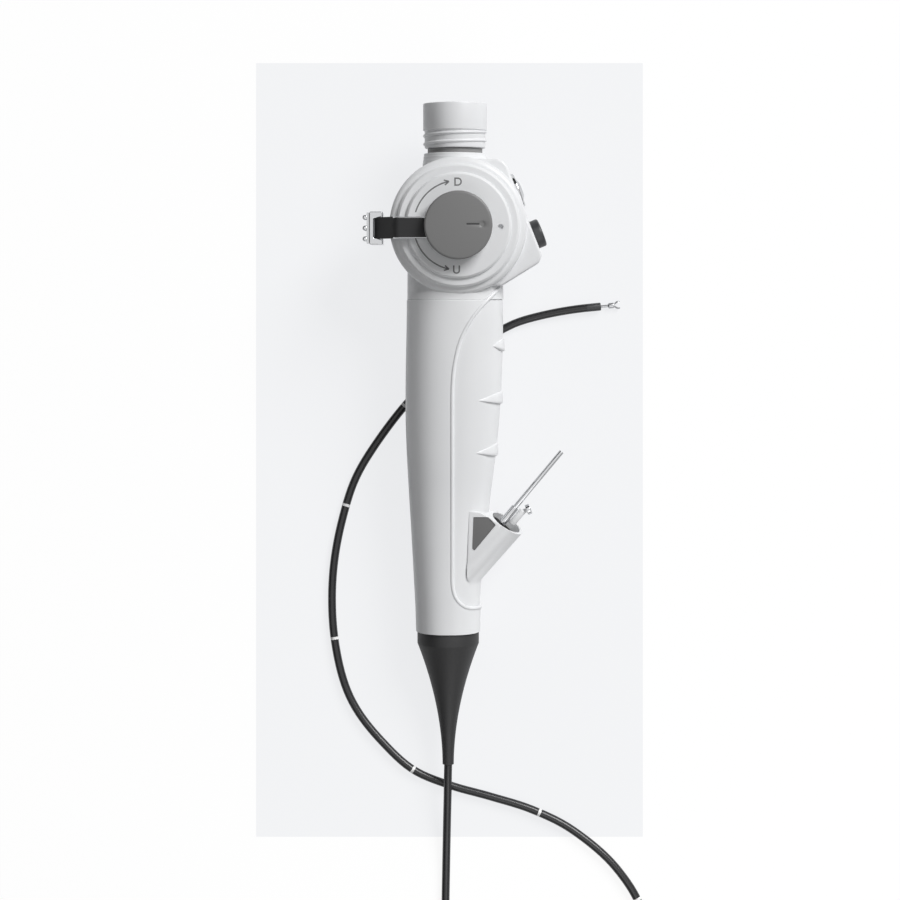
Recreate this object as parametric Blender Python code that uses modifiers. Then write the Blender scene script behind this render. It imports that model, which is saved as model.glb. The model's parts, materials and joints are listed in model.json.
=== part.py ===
"""Flexible endoscope: a control handle with its angulation lever, an insertion tube and a jointed tip.

A Blender 4.5 script, in metres, +Z up. The instrument lies on a table at Z = 0. The handle is drawn
in its own frame: X across it, Y up it towards the video connector, Z out of the face with the lever.
That frame's origin is the middle of the lever's axle. HANDLE carries the frame, tilted, because the
handle rests on the boss behind its head and on the lower end of its grip. The table frame holds the
insertion tube, the bending section and the forceps that comes out of the tip.
"""

import math

import bmesh
import bpy
from mathutils import Matrix, Vector

MM = 0.001
GAP = 0.3 * MM  # between pieces that touch
FINE_GAP = 0.12 * MM  # between pieces under three millimetres across

# Head, measured from the lever's axle and from the handle's middle plane
HEAD_RADIUS = 24.7 * MM
HEAD_NEAR = 14.0 * MM
HEAD_FAR = 14.0 * MM
HEAD_WALL = 2.4 * MM
HEAD_EDGE = 2.0 * MM
BEZEL_RADIUS = HEAD_RADIUS - HEAD_WALL
BEZEL_HEIGHT = 2.2 * MM
DIAL_RADIUS = BEZEL_RADIUS - 3.2 * MM
DIAL_HEIGHT = 3.8 * MM
FOOT_RADIUS = HEAD_RADIUS - 7.7 * MM
FOOT_DEPTH = 22.5 * MM
COVER_FLANGE = 2.4 * MM
SCREW_CIRCLE = HEAD_RADIUS - 4.0 * MM
SCREW_ANGLES = (60, 180, 315)
SCREW_HEAD_RADIUS = 1.7 * MM
SCREW_SHANK_RADIUS = 0.9 * MM
SCREW_LENGTH = 8.0 * MM

# Button block on the finger side of the head. Its slanted face just clears the head's round side.
FACE_ANGLE = math.radians(21.665)
FACE_DISTANCE = HEAD_RADIUS + 0.053 * MM
FACE_OUT = Vector((math.cos(FACE_ANGLE), math.sin(FACE_ANGLE)))
FACE_DOWN = Vector((FACE_OUT.y, -FACE_OUT.x))
BLOCK_TOP = HEAD_RADIUS - 0.7 * MM
BLOCK_HEIGHT = 36.0 * MM
BLOCK_LOW = BLOCK_TOP - BLOCK_HEIGHT
FACE_TOP = Vector(((FACE_DISTANCE - BLOCK_TOP * FACE_OUT.y) / FACE_OUT.x, BLOCK_TOP))
FACE_LOW = Vector(((FACE_DISTANCE - BLOCK_LOW * FACE_OUT.y) / FACE_OUT.x, BLOCK_LOW))
BLOCK_HEEL = (15.9 * MM, -21.6 * MM)
BLOCK_HALF_DEPTH = 10.6 * MM
BLOCK_WALL = 2.2 * MM
BLOCK_EDGE = 1.6 * MM
UPPER_BUTTON_AT = 11.9 * MM
LOWER_BUTTON_AT = 29.2 * MM
SUCTION_RADIUS = 5.2 * MM
SUCTION_PROUD = 2.6 * MM
SUCTION_TRAVEL = 2.0 * MM
FUNCTION_RADIUS = 4.5 * MM
FUNCTION_PROUD = 1.3 * MM
FUNCTION_TRAVEL = 0.8 * MM
FUNCTION_BEZEL_RADIUS = 6.4 * MM
VALVE_RADIUS = 4.6 * MM
VALVE_DEPTH = 13.0 * MM

# Lever and what turns with it
AXLE_RADIUS = 2.5 * MM
LEVER_LOW = 18.5 * MM
LEVER_HIGH = 20.3 * MM
LEVER_HUB_RADIUS = 11.3 * MM
LEVER_BOSS_RADIUS = 5.5 * MM
ARM_CENTRE_Y = -0.85 * MM
ARM_WIDTH = 6.8 * MM
ARM_BEND_X = -22.2 * MM
PAD_INNER_X = -30.4 * MM
PAD_OUTER_X = -32.0 * MM
PAD_LIP_X = -27.2 * MM
PAD_TOP = 5.1 * MM
PAD_BOTTOM = -6.8 * MM
PAD_LIP = 2.4 * MM
PAD_LOW = -8.0 * MM
PAD_HIGH = 11.5 * MM
RIB_HEIGHT = 1.6 * MM
RIB_WIDTH = 1.8 * MM
KNOB_RADIUS = 12.15 * MM
KNOB_HEIGHT = 3.7 * MM
DRUM_RADIUS = 8.6 * MM
DRUM_HALF = 4.0 * MM
WIRE_LEVEL = 2.0 * MM
WIRE_RADIUS = 0.25 * MM
WIRE_ARM = 8.05 * MM

# Video connector at the top of the handle
CONNECTOR_X = -1.1 * MM
NECK_RADIUS = 11.5 * MM
NECK_TOP = HEAD_RADIUS + 1.6 * MM
GROOVE_RADIUS = NECK_RADIUS - 1.0 * MM
COLLAR_RADIUS = NECK_RADIUS - 0.15 * MM
COLLAR_RIDGE = 0.3 * MM
COLLAR_BORE = COLLAR_RADIUS - 1.55 * MM
COLLAR_LOW = NECK_TOP + 2.7 * MM
COLLAR_HIGH = COLLAR_LOW + 15.7 * MM
SOCKET_DEPTH = 9.0 * MM
PIN_COUNT = 8
PIN_CIRCLE = 5.6 * MM
PIN_RADIUS = 0.5 * MM
PIN_HEIGHT = 3.2 * MM

# Grip: height, left side, right side and half depth of each section, top to bottom
GRIP_SECTIONS = [
    (-8.0 * MM, -18.6 * MM, 16.4 * MM, 13.0 * MM),
    (-21.0 * MM, -18.7 * MM, 16.7 * MM, 13.4 * MM),
    (-34.0 * MM, -18.8 * MM, 17.0 * MM, 13.6 * MM),
    (-48.0 * MM, -19.1 * MM, 16.8 * MM, 13.8 * MM),
    (-58.0 * MM, -19.25 * MM, 16.5 * MM, 13.9 * MM),
    (-68.0 * MM, -19.25 * MM, 15.9 * MM, 13.9 * MM),
    (-78.0 * MM, -19.05 * MM, 15.0 * MM, 13.7 * MM),
    (-88.0 * MM, -18.6 * MM, 13.9 * MM, 13.3 * MM),
    (-98.0 * MM, -18.05 * MM, 12.6 * MM, 12.7 * MM),
    (-109.0 * MM, -17.4 * MM, 11.4 * MM, 12.3 * MM),
    (-120.0 * MM, -16.8 * MM, 10.3 * MM, 12.1 * MM),
    (-131.0 * MM, -16.2 * MM, 9.1 * MM, 11.95 * MM),
    (-140.0 * MM, -15.75 * MM, 8.5 * MM, 11.9 * MM),
    (-148.8 * MM, -15.5 * MM, 8.3 * MM, 11.9 * MM),
]
GRIP_END = -148.8 * MM
GRIP_END_RADIUS = 11.9 * MM
GRIP_WALL = 2.2 * MM
GRIP_SQUARENESS = 2.25
GRIP_SIDES = 32
SEAM_HEIGHT = -26.5 * MM
PANEL_INSET = 0.5 * MM
# The edge of the finger panel, from the heel of the button block round to the lower right
PANEL_EDGE = [
    (16.6 * MM, -21.6 * MM),
    (9.0 * MM, -29.1 * MM),
    (4.8 * MM, -34.6 * MM),
    (1.6 * MM, -40.6 * MM),
    (-0.4 * MM, -47.9 * MM),
    (-1.4 * MM, -55.5 * MM),
    (-1.6 * MM, -64.0 * MM),
    (-1.6 * MM, -131.0 * MM),
    (-0.9 * MM, -134.6 * MM),
    (1.0 * MM, -137.3 * MM),
    (4.0 * MM, -138.8 * MM),
    (9.0 * MM, -138.9 * MM),
]
# Each finger rib: its point on the front, then the two ends of its wide side
FINGER_RIBS = [
    ((12.4 * MM, -43.3 * MM), -40.5 * MM, -45.6 * MM),
    ((7.0 * MM, -63.0 * MM), -59.9 * MM, -64.7 * MM),
    ((6.3 * MM, -82.1 * MM), -78.8 * MM, -83.9 * MM),
]
FINGER_RIB_RISE = 0.8 * MM
FINGER_RIB_WIDE = 9.0 * MM  # from the rib's point to where its side is full
FINGER_RIB_SIDE = 16.5 * MM
BEYOND_GRIP = 30.0 * MM  # far enough out to pass the grip on every side

# Inside the grip
GUIDE_TOP = SEAM_HEIGHT - 3.5 * MM
GUIDE_LENGTH = 9.0 * MM
GUIDE_DEPTH = 2.2 * MM  # beyond the wires
BOARD_TOP = SEAM_HEIGHT - 19.5 * MM
BOARD_LENGTH = 38.0 * MM
BOARD_LEVEL = -6.0 * MM
BOARD_THICKNESS = 1.4 * MM

# Working channel port on the finger side of the grip
PORT_MOUTH = (17.8 * MM, -108.7 * MM)
PORT_ANGLE = math.radians(48.7)
PORT_HALF_WIDTH = 7.0 * MM
PORT_HALF_DEPTH = 11.8 * MM
PORT_WALL = 1.2 * MM
PORT_BORE_DEPTH = 15.0 * MM
PORT_LEFT = 3.3 * MM
PORT_BOTTOM = -131.9 * MM
PORT_FOOT_RADIUS = 5.0 * MM
MOUTH_TURN = math.radians(9.0)
MOUTH_LEAN = math.radians(6.0)
WEB_HALF_DEPTH = 11.5 * MM
WEB_EDGE = 0.5 * MM
WEB_TOP = -103.2 * MM
WINDOW_DEPTH = 0.9 * MM
WINDOW = [
    (5.55 * MM, -105.5 * MM),
    (11.1 * MM, -105.5 * MM),
    (13.75 * MM, -108.4 * MM),
    (6.0 * MM, -117.8 * MM),
    (5.15 * MM, -117.2 * MM),
]
LINER_WALL = 0.8 * MM
LINER_FLOOR = -11.2 * MM
SEAL_DEPTH = 7.0 * MM
SEAL_THICKNESS = 1.6 * MM

# Instrument in the port
INSTRUMENT_ANGLE = math.radians(50.3)
INSTRUMENT_AT = (17.0 * MM, -108.0 * MM)
SLEEVE_RADIUS = 1.4 * MM
SLEEVE_LOW = -9.6 * MM
SLEEVE_TOP = 6.5 * MM
SHAFT_RADIUS = 0.95 * MM
SHAFT_TOP = 33.2 * MM
SIDE_PORT_RADIUS = 1.3 * MM
SIDE_PORT_OFFSET = 2.95 * MM
SIDE_PORT_LOW = 0.8 * MM
SIDE_PORT_TOP = 7.4 * MM
KNOB_STEM_ANGLE = math.radians(22.0)
KNOB_STEM_LENGTH = 1.9 * MM
CLAMP_KNOB_RADIUS = 2.0 * MM
CLAMP_KNOB_LENGTH = 1.5 * MM

# Strain relief
TAIL_X = -3.6 * MM
BOOT_RADIUS = 11.4 * MM
BOOT_BAND = 4.3 * MM
BOOT_LENGTH = 50.0 * MM
BOOT_END_RADIUS = 2.1 * MM
BOOT_TAPER = 1.9
SPIGOT_LENGTH = 4.0 * MM
RETAINER_LENGTH = 2.6 * MM

# Insertion tube, bending section and tip
TUBE_RADIUS = 1.5 * MM
TUBE_POINT_SPACING = 8.3 * MM
LINK_RADIUS = 1.45 * MM
LINK_BORE = 0.95 * MM
LINK_PITCH = 3.1 * MM
LINK_COUNT = 7
LINK_LUG = 0.5 * MM
LINK_SOCKET = 0.72 * MM
LINK_SHOULDER = 0.24 * MM
LINK_BEVEL = 0.18
TIP_LENGTH = 6.0 * MM
CHANNEL_RADIUS = 0.66 * MM
CHANNEL_DROP = 0.5 * MM
LENS_RADIUS = 0.34 * MM
LENS_RISE = 0.82 * MM
FORCEPS_RADIUS = 0.5 * MM
FORCEPS_REACH = 2.6 * MM
FORCEPS_BACK = 2.7 * MM  # rear end of the shaft, clear of the last link when it is drawn back
FORCEPS_HUB_RADIUS = 1.05 * MM
FORCEPS_HUB_LENGTH = 2.4 * MM
JAW_LENGTH = 3.0 * MM
JAW_OPEN = math.radians(20.0)
JAW_PIN_RADIUS = 0.22 * MM

# Places of the frames on the table
AXLE_PLACE = (-2.22 * MM, 76.585 * MM)
BEND_BASE = (26.4 * MM, -32.4 * MM)  # from the axle, seen from above
BEND_HEADING = math.radians(16.0)
REST_CURL = math.radians(-1.3)
# Route of the insertion tube from the strain relief to the bending section, seen from above the
# table and measured from the axle, with the height of its middle
TUBE_ROUTE = [
    (-3.7, -203.0, 7.5),
    (-3.8, -210.0, 6.5),
    (-4.0, -219.0, 4.7),
    (-4.2, -229.0, 2.7),
    (-4.4, -240.0, 1.7),
    (-4.6, -252.0, 1.5),
    (-4.8, -274.0, 1.5),
    (-4.9, -290.0, 1.5),
    (-2.0, -308.0, 1.5),
    (9.5, -324.0, 1.5),
    (26.5, -332.5, 1.5),
    (44.5, -331.5, 1.5),
    (60.5, -321.5, 1.5),
    (70.5, -305.0, 1.5),
    (73.5, -285.0, 1.5),
    (70.0, -257.0, 1.5),
    (59.5, -238.5, 1.5),
    (43.5, -224.5, 1.5),
    (28.0, -216.6, 1.5),
    (12.1, -211.6, 1.5),
    (-2.9, -207.4, 1.5),
    (-17.0, -201.4, 1.5),
    (-28.7, -190.7, 1.5),
    (-37.6, -179.5, 1.5),
    (-42.9, -168.0, 1.5),
    (-46.2, -152.8, 1.5),
    (-47.2, -137.8, 1.5),
    (-46.3, -122.9, 1.5),
    (-43.4, -107.9, 1.5),
    (-38.7, -93.0, 1.5),
    (-31.2, -80.0, 1.5),
    (-19.8, -64.9, 1.5),
    (-8.0, -53.2, 1.5),
    (4.0, -43.8, 1.5),
    (16.5, -36.5, 1.5),
]

WHITE = "#E9EAEB"
MID_GREY = "#7B7B7B"
DARK_GREY = "#6A6A6A"
BLACK = "#1E1E20"
STEEL = "#C9CCD0"


def linear(hex_colour):
    """The sRGB hex colour as linear RGBA."""
    channels = [int(hex_colour[i : i + 2], 16) / 255 for i in (1, 3, 5)]
    return [c / 12.92 if c <= 0.04045 else ((c + 0.055) / 1.055) ** 2.4 for c in channels] + [1.0]


def finish(name, colour, roughness, metallic=0.0):
    material = bpy.data.materials.new(name)
    material.use_nodes = True
    shader = material.node_tree.nodes["Principled BSDF"]
    shader.inputs["Base Color"].default_value = linear(colour)
    shader.inputs["Roughness"].default_value = roughness
    shader.inputs["Metallic"].default_value = metallic
    return material


def clear_scene():
    for thing in list(bpy.data.objects):
        bpy.data.objects.remove(thing, do_unlink=True)


clear_scene()
PARTS = bpy.data.collections.new("flexible_endoscope")
CUTTERS = bpy.data.collections.new("cutters")
bpy.context.scene.collection.children.link(PARTS)
bpy.context.scene.collection.children.link(CUTTERS)


def empty(name, parent, location=(0, 0, 0), rotation=(0, 0, 0)):
    frame = bpy.data.objects.new(name, None)
    frame.location = location
    frame.rotation_euler = rotation
    frame.parent = parent
    PARTS.objects.link(frame)
    return frame


def place(name, mesh, parent, look=None, location=(0, 0, 0), rotation=(0, 0, 0)):
    """An object of this mesh: a part when it has a look, otherwise a cutter or helper."""
    item = bpy.data.objects.new(name, mesh)
    item.location = location
    item.rotation_euler = rotation
    item.parent = parent
    if look is None:
        CUTTERS.objects.link(item)
        item.hide_render = True
        item.display_type = "WIRE"
    else:
        PARTS.objects.link(item)
        if not mesh.materials:
            mesh.materials.append(finish(name + "_finish", *look))
    return item


def from_bmesh(name, shape):
    bmesh.ops.recalc_face_normals(shape, faces=shape.faces)
    mesh = bpy.data.meshes.new(name)
    shape.to_mesh(mesh)
    shape.free()
    mesh.shade_smooth()
    mesh.set_sharp_from_angle(angle=math.radians(35))
    return mesh


def box(name, low, high, parent, look=None, edge=0.0):
    """A box between two corners, with bevelled edges where an edge is given."""
    shape = bmesh.new()
    bmesh.ops.create_cube(shape, size=1.0)
    size = [b - a for a, b in zip(low, high)]
    middle = Vector([(a + b) / 2 for a, b in zip(low, high)])
    bmesh.ops.scale(shape, vec=size, verts=shape.verts)
    bmesh.ops.translate(shape, vec=middle, verts=shape.verts)
    item = place(name, from_bmesh(name, shape), parent, look)
    if edge:
        bevel(item, edge)
    return item


def rod(name, radius, low, high, parent, look=None, sides=24, centre=(0, 0), flatten=1.0):
    """A cylinder along the parent's Z from low to high. flatten stretches it along Y."""
    shape = bmesh.new()
    bmesh.ops.create_cone(
        shape, cap_ends=True, segments=sides, radius1=radius, radius2=radius, depth=high - low
    )
    bmesh.ops.scale(shape, vec=(1, flatten, 1), verts=shape.verts)
    bmesh.ops.translate(shape, vec=(centre[0], centre[1], (low + high) / 2), verts=shape.verts)
    return place(name, from_bmesh(name, shape), parent, look)


def turned(name, profile, parent, look=None, sides=32, ring=False, location=(0, 0, 0)):
    """A turned piece about the parent's Z: (radius, height) points, top to bottom down the outside.

    A ring's profile comes back up inside to its first point; any other starts and ends on the axis.
    """
    shape = bmesh.new()
    corners = [shape.verts.new((radius, 0, height)) for radius, height in profile]
    for first, second in zip(corners, corners[1:]):
        shape.edges.new((first, second))
    if ring:
        shape.edges.new((corners[-1], corners[0]))
    mesh = bpy.data.meshes.new(name)
    shape.to_mesh(mesh)
    shape.free()
    item = place(name, mesh, parent, look, location)
    screw = item.modifiers.new("turn", "SCREW")
    screw.steps = sides
    screw.render_steps = sides
    screw.use_merge_vertices = True
    screw.merge_threshold = 0.00001
    screw.use_smooth_shade = True
    return item


def bevel(item, width, segments=2):
    edge = item.modifiers.new("edge", "BEVEL")
    edge.width = width
    edge.segments = segments
    edge.limit_method = "ANGLE"
    edge.angle_limit = math.radians(50)


def rounded(corners, step=math.radians(15)):
    """Outline points with each corner (x, y, radius) turned into an arc."""
    points = []
    for i, (x, y, radius) in enumerate(corners):
        here = Vector((x, y))
        before = (Vector(corners[i - 1][:2]) - here).normalized()
        after = (Vector(corners[(i + 1) % len(corners)][:2]) - here).normalized()
        if not radius:
            points.append((x, y))
            continue
        half = before.angle(after) / 2
        middle = here + (before + after).normalized() * radius / math.sin(half)
        start = here + before * radius / math.tan(half) - middle
        sweep = math.pi - 2 * half
        turn = -1 if before.x * after.y - before.y * after.x > 0 else 1
        count = max(2, round(sweep / step))
        for k in range(count + 1):
            spoke = start.copy()
            spoke.rotate(Matrix.Rotation(turn * sweep * k / count, 2))
            points.append(tuple(middle + spoke))
    return points


def slab(name, outline, low, high, parent, look=None, edge=0.0):
    """A flat outline in the parent's XY plane, made solid from low to high along its Z."""
    curve = bpy.data.curves.new(name, "CURVE")
    curve.dimensions = "2D"
    curve.fill_mode = "BOTH"
    curve.extrude = (high - low) / 2
    spline = curve.splines.new("POLY")
    spline.points.add(len(outline) - 1)
    for point, (x, y) in zip(spline.points, outline):
        point.co = (x, y, 0, 1)
    spline.use_cyclic_u = True
    flat = bpy.data.objects.new(name + "_curve", curve)
    CUTTERS.objects.link(flat)
    bpy.context.view_layer.update()
    filled = bpy.data.meshes.new_from_object(
        flat.evaluated_get(bpy.context.evaluated_depsgraph_get())
    )
    bpy.data.objects.remove(flat, do_unlink=True)
    shape = bmesh.new()
    shape.from_mesh(filled)
    bpy.data.meshes.remove(filled)
    bmesh.ops.remove_doubles(shape, verts=shape.verts, dist=0.000001)
    bmesh.ops.dissolve_limit(
        shape, angle_limit=math.radians(1), verts=shape.verts, edges=shape.edges
    )
    bmesh.ops.translate(shape, vec=(0, 0, (low + high) / 2), verts=shape.verts)
    item = place(name, from_bmesh(name, shape), parent, look)
    if edge:
        bevel(item, edge)
    return item


def wire(name, points, radius, parent, look, sides=2):
    """A round bar that follows the points, closed at both ends."""
    curve = bpy.data.curves.new(name, "CURVE")
    curve.dimensions = "3D"
    curve.bevel_depth = radius
    curve.bevel_resolution = sides
    curve.use_fill_caps = True
    spline = curve.splines.new("POLY")
    spline.points.add(len(points) - 1)
    for point, place_at in zip(spline.points, points):
        point.co = (*place_at, 1)
    item = bpy.data.objects.new(name, curve)
    item.parent = parent
    curve.materials.append(finish(name + "_finish", *look))
    PARTS.objects.link(item)
    return item


def combine(item, others, operation):
    for other in others:
        step = item.modifiers.new(operation.lower() + "_" + other.name, "BOOLEAN")
        step.operation = operation
        step.solver = "EXACT"
        step.object = other
    return item


def cut(item, *others):
    return combine(item, others, "DIFFERENCE")


def join(item, *others):
    return combine(item, others, "UNION")


def keep_inside(item, *others):
    return combine(item, others, "INTERSECT")


def smooth_path(points, spacing):
    """Points a fixed distance apart on a smooth curve through the given points."""
    route = [Vector(p) for p in points]
    route = [2 * route[0] - route[1]] + route + [2 * route[-1] - route[-2]]
    fine = []
    for a, b, c, d in zip(route, route[1:], route[2:], route[3:]):
        for k in range(20):
            t = k / 20
            fine.append(
                0.5
                * (2 * b + (c - a) * t + (2 * a - 5 * b + 4 * c - d) * t**2 + (3 * b - a - 3 * c + d) * t**3)
            )
    fine.append(route[-2])
    lengths = [0.0]
    for first, second in zip(fine, fine[1:]):
        lengths.append(lengths[-1] + (second - first).length)
    count = max(2, round(lengths[-1] / spacing))
    found, at = [], 0
    for k in range(count + 1):
        goal = lengths[-1] * k / count
        while at < len(lengths) - 2 and lengths[at + 1] < goal:
            at += 1
        share = (goal - lengths[at]) / (lengths[at + 1] - lengths[at])
        found.append(fine[at].lerp(fine[at + 1], share))
    return found, lengths[-1]


def offset_path(points, distance):
    """The path moved to its right by a distance."""
    moved = []
    for i, point in enumerate(points):
        before = Vector(points[max(i - 1, 0)])
        after = Vector(points[min(i + 1, len(points) - 1)])
        along = (after - before).normalized()
        moved.append((point[0] + along.y * distance, point[1] - along.x * distance))
    return moved


def grip_form(name, inset, top=None, bottom=None):
    """The grip's outer form, made smaller by inset, between two heights."""
    sections = [s for s in GRIP_SECTIONS]
    if top is not None:
        sections = [section_at(top)] + [s for s in sections if s[0] < top]
    if bottom is not None:
        sections = [s for s in sections if s[0] > bottom] + [section_at(bottom)]
    shape = bmesh.new()
    rings = []
    for height, left, right, half_depth in sections:
        middle, half_width = (left + right) / 2, (right - left) / 2 - inset
        ring = []
        for k in range(GRIP_SIDES):
            angle = 2 * math.pi * k / GRIP_SIDES
            across, out = math.cos(angle), math.sin(angle)
            x = middle + half_width * math.copysign(abs(across) ** (2 / GRIP_SQUARENESS), across)
            z = (half_depth - inset) * math.copysign(abs(out) ** (2 / GRIP_SQUARENESS), out)
            ring.append(shape.verts.new((x, height, z)))
        rings.append(ring)
    for upper, lower in zip(rings, rings[1:]):
        for k in range(GRIP_SIDES):
            n = (k + 1) % GRIP_SIDES
            shape.faces.new((upper[k], upper[n], lower[n], lower[k]))
    shape.faces.new(rings[0])
    shape.faces.new(rings[-1])
    return place(name, from_bmesh(name, shape), HANDLE)


def section_at(height):
    """The grip's section at any height, straight between the two nearest, or past the last ones."""
    upper, lower = GRIP_SECTIONS[0], GRIP_SECTIONS[1]
    for first, second in zip(GRIP_SECTIONS, GRIP_SECTIONS[1:]):
        upper, lower = first, second
        if height >= second[0]:
            break
    share = (height - upper[0]) / (lower[0] - upper[0])
    return (height, *[a + (b - a) * share for a, b in zip(upper[1:], lower[1:])])


# Frames
TILT = math.atan2(FOOT_DEPTH - GRIP_END_RADIUS, -GRIP_END - FOOT_RADIUS)
AXLE_HEIGHT = FOOT_RADIUS * math.sin(TILT) + FOOT_DEPTH * math.cos(TILT)
HANDLE = empty("handle_frame", None, (*AXLE_PLACE, AXLE_HEIGHT), (TILT, 0, 0))
TABLE = empty("table_frame", None, (*AXLE_PLACE, 0))
UPWARDS = empty("connector_frame", HANDLE, (CONNECTOR_X, 0, 0), (-math.pi / 2, 0, 0))
TAILWARDS = empty("strain_relief_frame", HANDLE, (TAIL_X, 0, 0), (-math.pi / 2, 0, 0))

# The slanted face of the button block: from its upper corner to its lower corner


def face_frame(name, distance):
    at = FACE_TOP + FACE_DOWN * distance
    return empty(name, HANDLE, (at.x, at.y, 0), (0, math.pi / 2, FACE_ANGLE))


UPPER_BUTTON = face_frame("function_button_frame", UPPER_BUTTON_AT)
LOWER_BUTTON = face_frame("suction_button_frame", LOWER_BUTTON_AT)
LEVER = empty("lever_frame", HANDLE)

# Grip forms that the head, the shell and the finger panel share
grip_outside = grip_form("grip_outside", 0, top=SEAM_HEIGHT - GAP / 2)
grip_cavity = grip_form("grip_cavity", GRIP_WALL, bottom=GRIP_END - 10 * MM)
cavity_fit = grip_form("cavity_fit", GRIP_WALL + GAP, bottom=GRIP_END - 10 * MM)


def far_side_of_panel(border):
    """The region between the panel's edge and well beyond the grip's right side."""
    beyond = 45 * MM
    return [*border, (beyond, border[-1][1]), (beyond, border[0][1] + 2 * MM)]


def button_block(inset):
    """The outline of the block that carries the buttons, made smaller by inset."""
    heel = Vector(BLOCK_HEEL)
    low = FACE_LOW
    under = (low - heel).normalized()
    up = Vector((-under.y, under.x)) * inset
    face = FACE_TOP - FACE_OUT * inset
    # where the inset lower line meets the inset slanted face
    a, b = heel + up, face
    cross = under.x * FACE_DOWN.y - under.y * FACE_DOWN.x
    along = ((b.x - a.x) * FACE_DOWN.y - (b.y - a.y) * FACE_DOWN.x) / cross
    corner = a + under * along
    top_share = (BLOCK_TOP - inset - face.y) / FACE_DOWN.y
    top = face + FACE_DOWN * top_share
    start = 2.0 * MM
    return rounded(
        [
            (start, BLOCK_TOP - inset, 0),
            (start, heel.y, 0),
            (a.x, a.y, 0),
            (corner.x, corner.y, max(4.0 * MM - inset, 0.8 * MM)),
            (top.x, top.y, max(5.0 * MM - inset, 0.8 * MM)),
        ]
    )


def make_head():
    head = turned(
        "head_housing",
        [
            (0, HEAD_NEAR),
            (HEAD_RADIUS - HEAD_EDGE, HEAD_NEAR),
            (HEAD_RADIUS - HEAD_EDGE * 0.3, HEAD_NEAR - HEAD_EDGE * 0.3),
            (HEAD_RADIUS, HEAD_NEAR - HEAD_EDGE),
            (HEAD_RADIUS, -HEAD_FAR),
            (0, -HEAD_FAR),
        ],
        HANDLE,
        (WHITE, 0.35),
        sides=48,
    )
    block = slab(
        "button_block", button_block(0), -BLOCK_HALF_DEPTH, BLOCK_HALF_DEPTH, HANDLE, edge=BLOCK_EDGE
    )
    neck = grip_form("head_neck", 0, top=-8 * MM, bottom=SEAM_HEIGHT + GAP / 2)
    root = NECK_RADIUS + 2.4 * MM
    crown = turned(
        "connector_neck",
        [
            (0, NECK_TOP),
            (NECK_RADIUS, NECK_TOP),
            (NECK_RADIUS, NECK_TOP - 1.8 * MM),
            (NECK_RADIUS + 0.7 * MM, NECK_TOP - 3.6 * MM),
            (root, NECK_TOP - 6.5 * MM),
            (root, 12 * MM),
            (0, 12 * MM),
        ],
        UPWARDS,
        sides=40,
    )
    join(head, block, neck, crown)
    cavity = rod(
        "head_cavity", HEAD_RADIUS - HEAD_WALL, -HEAD_FAR - 5 * MM, HEAD_NEAR - HEAD_WALL, HANDLE, sides=40
    )
    block_cavity = slab(
        "block_cavity",
        button_block(BLOCK_WALL),
        -BLOCK_HALF_DEPTH + BLOCK_WALL,
        BLOCK_HALF_DEPTH - BLOCK_WALL,
        HANDLE,
    )
    neck_cavity = grip_form("neck_cavity", GRIP_WALL, top=-8 * MM, bottom=SEAM_HEIGHT - 5 * MM)
    crown_bore = rod("connector_bore", NECK_RADIUS - 3.0 * MM, 10 * MM, 40 * MM, UPWARDS, sides=32)
    axle_hole = rod("axle_hole", LEVER_BOSS_RADIUS, 5 * MM, 30 * MM, HANDLE, sides=32)
    suction_hole = rod("suction_hole", SUCTION_RADIUS + GAP, -5 * MM, 5 * MM, LOWER_BUTTON, sides=32)
    function_hole = rod("function_hole", FUNCTION_RADIUS + 1.2 * MM, -5 * MM, 5 * MM, UPPER_BUTTON, sides=32)
    cut(head, cavity, block_cavity, neck_cavity, crown_bore, axle_hole, suction_hole, function_hole)
    for k in range(3):
        pillar = rod(
            f"screw_pillar_{k + 1}",
            2.4 * MM,
            -HEAD_FAR + 0.2 * MM,
            HEAD_NEAR - HEAD_WALL / 2,
            HANDLE,
            sides=12,
            centre=screw_place(k),
        )
        hole = rod(
            f"screw_hole_{k + 1}",
            SCREW_SHANK_RADIUS + FINE_GAP,
            -HEAD_FAR - 1 * MM,
            -HEAD_FAR + SCREW_LENGTH,
            HANDLE,
            sides=12,
            centre=screw_place(k),
        )
        join(head, pillar)
        cut(head, hole)
    return head


def screw_place(k):
    angle = math.radians(SCREW_ANGLES[k])
    return SCREW_CIRCLE * math.cos(angle), SCREW_CIRCLE * math.sin(angle)


def make_far_cover():
    """The cover behind the head, with the round boss that the handle lies on."""
    top = -HEAD_FAR - GAP
    flange = top - COVER_FLANGE
    wall = 2.2 * MM
    edge = 1.2 * MM
    seat = AXLE_RADIUS + 2.6 * MM
    floor = -FOOT_DEPTH + wall
    cover = turned(
        "far_cover",
        [
            (0, floor),
            (seat, floor),
            (seat, top - 2.0 * MM),
            (seat + 1.6 * MM, top - 2.0 * MM),
            (seat + 1.6 * MM, floor),
            (FOOT_RADIUS - wall, floor),
            (FOOT_RADIUS - wall, top),
            (HEAD_RADIUS - 0.6 * MM, top),
            (HEAD_RADIUS, top - 0.6 * MM),
            (HEAD_RADIUS, flange + 0.6 * MM),
            (HEAD_RADIUS - 0.8 * MM, flange),
            (FOOT_RADIUS + edge + 0.3 * MM, flange),
            (FOOT_RADIUS + edge, -FOOT_DEPTH + edge),
            (FOOT_RADIUS, -FOOT_DEPTH),
            (0, -FOOT_DEPTH),
        ],
        HANDLE,
        (WHITE, 0.35),
        sides=48,
    )
    for k in range(3):
        hole = rod(
            f"cover_hole_{k + 1}", SCREW_SHANK_RADIUS + FINE_GAP, -30 * MM, 0, HANDLE, sides=16,
            centre=screw_place(k),
        )
        cut(cover, hole)


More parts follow.
